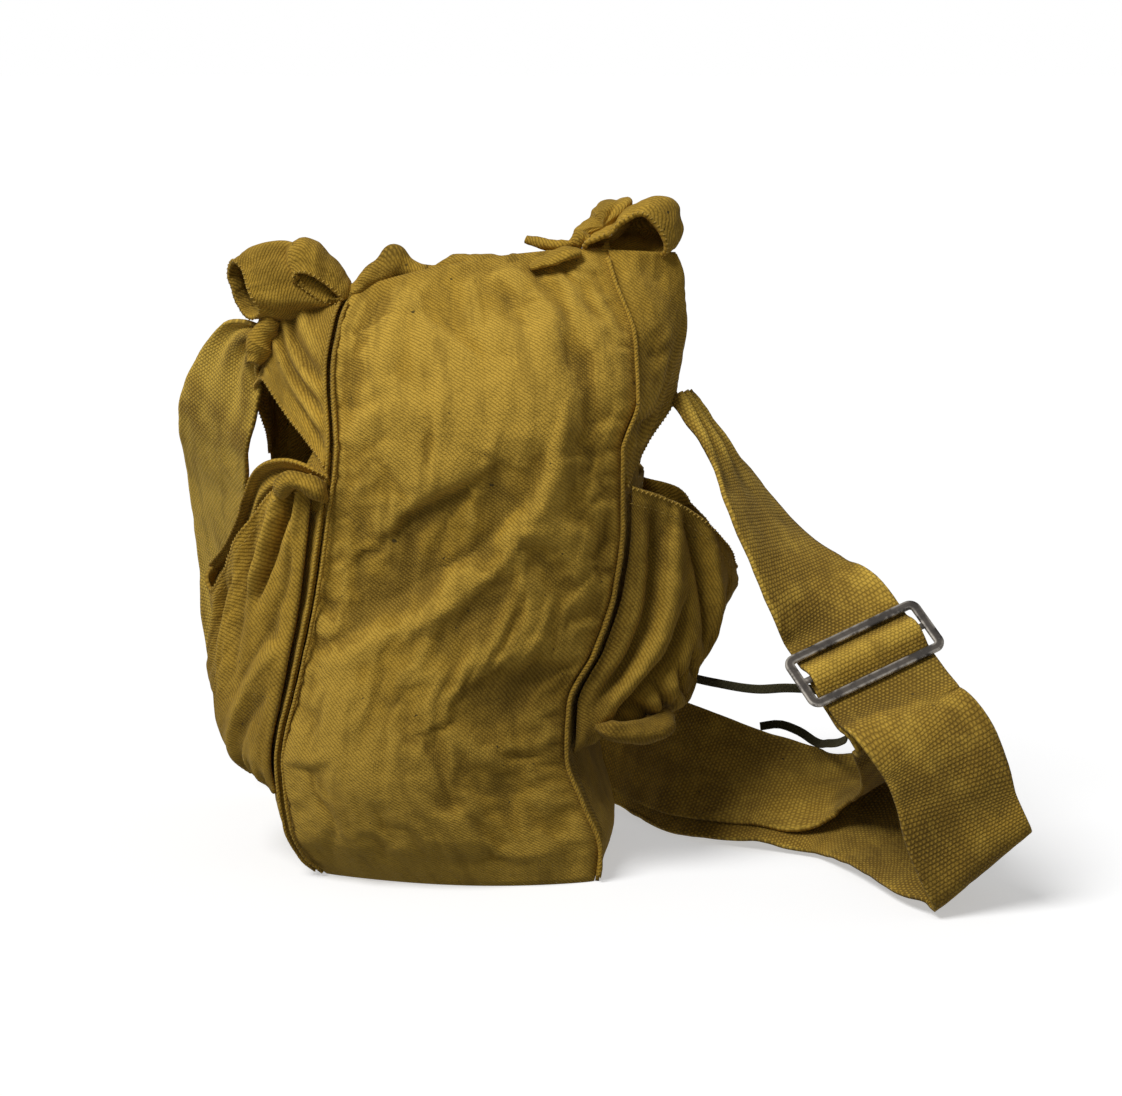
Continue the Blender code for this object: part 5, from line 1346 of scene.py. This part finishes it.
right_bow_sections = (
    ((80, 2, 256.5), (83, -4, 261.5), (79, -5.5, 269), (73.2, -6, 273.8), (66.7, -5, 270.6),
     (60.3, -4, 265.2), (51, -3.5, 261.5), (52.5, 3, 257.5), (66, 5, 255.5)),
    ((83, 4, 256.5), (87.5, -1, 263.5), (84.5, -2, 272.5), (76, -3, 277.2), (68.5, -2, 273.8),
     (61, -1, 267.5), (50.5, 0, 263), (51.5, 5, 257), (68, 7, 255)),
    ((86.5, 6, 261), (90.8, 5, 267.5), (88.3, 5, 277.5), (79, 3, 280), (70.5, 4, 277.4), (62, 5, 270),
     (52, 6, 264.5), (52.5, 8, 258), (69, 9, 256.5)),
    ((84.5, 14, 262), (88, 14, 268), (85.5, 14, 277), (77.5, 13, 279.2), (70.5, 13, 276.5), (63.5, 13, 271),
     (56.5, 13, 266), (56, 13, 262.2), (70, 14, 261)),
    ((78, 19, 265), (80.5, 19, 268), (78.5, 19, 272), (75, 19, 273.5), (70.5, 19, 272), (66.5, 19, 269.5),
     (63, 19, 267), (63, 19, 265), (70.5, 19, 264)),
    ((72, 20, 267.8), (72.3, 20, 268.3), (72, 20, 269), (71.4, 20, 269.3), (70.8, 20, 269),
     (70.3, 20, 268.6), (70, 20, 268.2), (70.1, 20, 267.8), (71, 20, 267.6)))
bow_piece("right_bow_arch", right_bow_sections, 54, 100, "right_bow", 111,
          lines=((0.0012, 0.40, 0.03), (-0.0012, 0.47, 0.03), (-0.0012, 0.12, 0.03)))
right_fold_sections = (
    ((58.4, 5, 268.6), (58.3, 5, 269.2), (57.9, 5, 269.4), (57.4, 5, 268.9), (57.1, 5, 268.3),
     (57.4, 5, 268), (58, 5, 268.1)),
    ((63.5, 6.5, 269), (64.5, 6, 274.5), (60, 6, 276), (54, 6.5, 271), (50, 7, 265.5), (53, 7.5, 263),
     (59, 7, 264)),
    ((66.5, 9, 270), (67.5, 8.5, 277.5), (61, 8, 278.3), (53, 9, 272), (47.5, 9, 265), (51.5, 9.5, 261.2),
     (60, 9.5, 262)),
    ((70, 18, 271), (69.5, 17, 279), (61, 17, 279.6), (52, 17, 273), (46, 17, 264.5), (51, 18, 260.8),
     (62, 18, 262)),
    ((67, 27, 270.5), (66, 27, 276), (60, 27, 277), (53, 27, 271), (49, 27, 265), (53.5, 27, 262),
     (61, 27, 263)),
    ((61, 31.5, 269), (60.5, 31.5, 271), (58.5, 31.5, 271.5), (56.5, 31.5, 269.5), (55, 31.5, 267),
     (56.5, 31.5, 266), (59, 31.5, 266.5)),
    ((58.4, 32, 268.6), (58.3, 32, 269), (58, 32, 269.1), (57.7, 32, 268.8), (57.5, 32, 268.4),
     (57.7, 32, 268.2), (58.1, 32, 268.3)))
bow_piece("right_bow_lobe", right_fold_sections, 54, 84, "right_bow_fold", 117,
          lines=((-0.0016, 0.20, 0.03), (0.0014, 0.30, 0.04), (-0.0012, 0.42, 0.03)), pinched=(0, -1))


# Knots. The strap's ends pass through the ears' corners and are drawn tight, so each
# knot is a small hard lump of wrapped cloth, with a neck up to its bow.
# For each knot: spots and radii in millimetres, seed
knot_shapes = {
    "left_knot": (
        ((-86.5, -2.5, 212.5), (-85.5, -1.5, 216), (-85, -1, 219.5), (-83.5, -1, 223.5),
         (-81, -1.5, 227.5), (-78, -2, 231)),
        (2.5, 4.8, 5.4, 4.8, 5, 3.4),
        121),
    "right_knot": (
        ((44.5, 1.5, 260.8), (46.5, 1.5, 262.5), (49, 2, 263.5), (52, 2, 263)),
        (1.5, 3.6, 3.9, 2),
        123)}
wrap_turns = 2.0
wrap_depth = 0.0012
for name, (spots, radii, seed) in knot_shapes.items():
    path, size = tapered(spots, radii, 60)
    across, upward = path_frame(path, (0.0, 1.0, 0.0))
    grid = tube_grid(path, across, upward, ring_profile(44), size)
    along, turn = wound(1.0, 60, 44)
    wrap = np.abs(np.sin(math.pi * (wrap_turns * along + turn))) ** 0.5
    lumps = 0.0008 * crumple(along * 0.02, 0.006 * np.sin(2 * math.pi * turn), 0.006, seed)
    tube_piece(name + "_wrap", raised(grid, (wrap - 0.7) * wrap_depth + lumps), name)


# Tails. Two short loose ends of the tie stick out from the right knot over the
# mouth, the upper one rolled up, the lower one a flat folded leaf.
# For each tail: spots and radii in millimetres, flatness, seed
tail_shapes = {
    "upper_tail": (
        ((45.5, 1.5, 261.8), (40, 1.2, 261), (33, 2, 261.4), (25.8, 3.6, 263.4)),
        (1.6, 2.6, 2.7, 2.5, 1.8),
        0.85, 131),
    "lower_tail": (
        ((48, -6, 258.6), (43, -8, 258.6), (36, -9, 256), (27.5, -10.2, 252.6)),
        (2, 4.4, 5, 3.8, 1.6),
        0.5, 133)}
tail_length = 0.022
tail_tilt = math.radians(25.0)
for name, (spots, radii, flat, seed) in tail_shapes.items():
    path, size = tapered(spots, radii, 56)
    across, upward = path_frame(path)
    side_way = across * math.cos(tail_tilt) + upward * math.sin(tail_tilt)
    up_way = upward * math.cos(tail_tilt) - across * math.sin(tail_tilt)
    grid = tube_grid(path, side_way, up_way, ring_profile(36, flat), size)
    along, turn = wound(tail_length, 56, 36)
    groove = -0.0010 * np.exp(-(((turn - 0.30) + 0.15 * along / tail_length) / 0.05) ** 2)
    lumps = 0.0007 * crumple(along, 0.004 * np.sin(2 * math.pi * turn), 0.006, seed)
    tube_piece(name + "_cloth", raised(grid, groove + lumps), name)


# Stitches. Slanting whip stitches of thick faded thread bind the hems and the raised
# seams, about 2 mm apart; the same thread runs along the pockets' hems.
thread = cloth_material("faded_thread", (0.520, 0.340, 0.065), (0.640, 0.430, 0.100), (0.360, 0.225, 0.038),
                        "basket", 0.00005, 0.0, 0.30)


def stitch_tree():
    """Node tree that sets small stitches along a line, slanted on the surface it lies on."""
    tree = bpy.data.node_groups.new("stitch_row", "GeometryNodeTree")
    sockets = {}
    tree.interface.new_socket("Line", in_out="INPUT", socket_type="NodeSocketGeometry")
    sizes = (("Spacing", 0.0021), ("Stitch length", 0.0019), ("Thread width", 0.0007), ("Slant", 0.9))
    for label, value in sizes:
        sockets[label] = tree.interface.new_socket(label, in_out="INPUT", socket_type="NodeSocketFloat")
        sockets[label].default_value = value
    sockets["Finish"] = tree.interface.new_socket("Finish", in_out="INPUT", socket_type="NodeSocketMaterial")
    tree.interface.new_socket("Stitches", in_out="OUTPUT", socket_type="NodeSocketGeometry")
    start = tree.nodes.new("NodeGroupInput")
    end = tree.nodes.new("NodeGroupOutput")
    curve = tree.nodes.new("GeometryNodeMeshToCurve")
    spaced = tree.nodes.new("GeometryNodeResampleCurve")
    spaced.mode = "LENGTH"
    bead = tree.nodes.new("GeometryNodeMeshUVSphere")
    bead.inputs["Segments"].default_value = 8
    bead.inputs["Rings"].default_value = 6
    bead.inputs["Radius"].default_value = 0.5
    place = tree.nodes.new("GeometryNodeInstanceOnPoints")
    size = tree.nodes.new("ShaderNodeCombineXYZ")
    tangent = tree.nodes.new("GeometryNodeInputTangent")
    outward = tree.nodes.new("GeometryNodeInputNamedAttribute")
    outward.data_type = "FLOAT_VECTOR"
    outward.inputs["Name"].default_value = "outward"
    along = tree.nodes.new("FunctionNodeAlignRotationToVector")
    along.axis = "X"
    upright = tree.nodes.new("FunctionNodeAlignRotationToVector")
    upright.axis = "Z"
    upright.pivot_axis = "X"
    slanted = tree.nodes.new("FunctionNodeRotateRotation")
    slanted.rotation_space = "LOCAL"
    angle = tree.nodes.new("ShaderNodeCombineXYZ")
    turned = tree.nodes.new("FunctionNodeEulerToRotation")
    real = tree.nodes.new("GeometryNodeRealizeInstances")
    smooth = tree.nodes.new("GeometryNodeSetShadeSmooth")
    paint = tree.nodes.new("GeometryNodeSetMaterial")
    join = tree.links.new
    join(start.outputs["Line"], curve.inputs["Mesh"])
    join(curve.outputs["Curve"], spaced.inputs["Curve"])
    join(start.outputs["Spacing"], spaced.inputs["Length"])
    join(spaced.outputs["Curve"], place.inputs["Points"])
    join(bead.outputs["Mesh"], place.inputs["Instance"])
    join(start.outputs["Stitch length"], size.inputs["X"])
    join(start.outputs["Thread width"], size.inputs["Y"])
    join(start.outputs["Thread width"], size.inputs["Z"])
    join(size.outputs[0], place.inputs["Scale"])
    join(tangent.outputs[0], along.inputs["Vector"])
    join(along.outputs[0], upright.inputs["Rotation"])
    join(outward.outputs["Attribute"], upright.inputs["Vector"])
    join(start.outputs["Slant"], angle.inputs["Z"])
    join(angle.outputs[0], turned.inputs["Euler"])
    join(upright.outputs[0], slanted.inputs["Rotation"])
    join(turned.outputs[0], slanted.inputs["Rotate By"])
    join(slanted.outputs[0], place.inputs["Rotation"])
    join(place.outputs["Instances"], real.inputs["Geometry"])
    join(real.outputs["Geometry"], smooth.inputs["Geometry"])
    join(smooth.outputs["Geometry"], paint.inputs["Geometry"])
    join(start.outputs["Finish"], paint.inputs["Material"])
    join(paint.outputs["Geometry"], end.inputs["Stitches"])
    return tree, {label: socket.identifier for label, socket in sockets.items()}


stitches, stitch_sockets = stitch_tree()


def stitch_piece(name, lines, spacing, length, width, slant):
    """Stitches along several lines, each given by its points and the way they face."""
    points = np.concatenate([line for line, _ in lines])
    faces = np.concatenate([face for _, face in lines])
    edges, first = [], 0
    for line, _ in lines:
        edges += [(first + k, first + k + 1) for k in range(len(line) - 1)]
        first += len(line)
    mesh = bpy.data.meshes.new(name)
    mesh.from_pydata(points.tolist(), edges, [])
    held = mesh.attributes.new("outward", "FLOAT_VECTOR", "POINT")
    held.data.foreach_set("vector", unit(faces).astype(np.float32).ravel())
    line_object = bpy.data.objects.new(name + "_lines", mesh)
    bpy.context.scene.collection.objects.link(line_object)
    row = line_object.modifiers.new("stitches", "NODES")
    row.node_group = stitches
    for label, value in (("Spacing", spacing), ("Stitch length", length), ("Thread width", width),
                         ("Slant", slant), ("Finish", thread)):
        row[stitch_sockets[label]] = value
    bpy.context.view_layer.update()
    graph = bpy.context.evaluated_depsgraph_get()
    plain = bpy.data.meshes.new_from_object(line_object.evaluated_get(graph))
    bpy.data.objects.remove(line_object, do_unlink=True)
    piece = bpy.data.objects.new(name, plain)
    bpy.context.scene.collection.objects.link(piece)
    if not plain.materials:
        plain.materials.append(thread)
    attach(piece, "root")


def line_on(points, distance, last=False, lift=0.0001):
    """Line on a grid at a distance from its rim, with the way the cloth faces there."""
    far = edge_distance(points, last)
    faces = outward_normals(points)
    order = slice(None, None, -1) if last else slice(None)
    line = np.stack([[np.interp(distance, far[order, k], points[order, k, axis]) for axis in range(3)]
                     for k in range(points.shape[1])])
    row = int(np.argmin(np.abs(far.mean(axis=1) - distance)))
    return line + faces[row] * lift, faces[row]


stitch_piece("seam_stitches", stitch_lines, 0.0023, 0.0012, 0.00042, 0.75)
hems = [line_on(rims[name], 0.0006)
        for name in ("left_pocket", "right_pocket", "left_pocket_rear_rim", "right_pocket_rear_rim")]
hems += [line_on(rims[name], 0.0006, last=True) for name in ("left_ear", "right_ear")]
for name in ("left_bow_sleeve", "left_bow_band", "right_bow_arch"):
    rim_line, rim_faces = line_on(rims[name], 0.0005)
    hems.append((np.concatenate([rim_line, rim_line[:1]]), np.concatenate([rim_faces, rim_faces[:1]])))
stitch_piece("hem_stitches", hems, 0.0021, 0.0016, 0.0006, 1.15)
sunk = -0.0001
inner_rows = [line_on(rims[name], 0.0072, lift=sunk) for name in ("left_pocket", "right_pocket")]
inner_rows.append(line_on(rims["right_ear"], 0.0062, last=True, lift=sunk))
stitch_piece("hem_lines", inner_rows, 0.0030, 0.0024, 0.0005, 0.0)
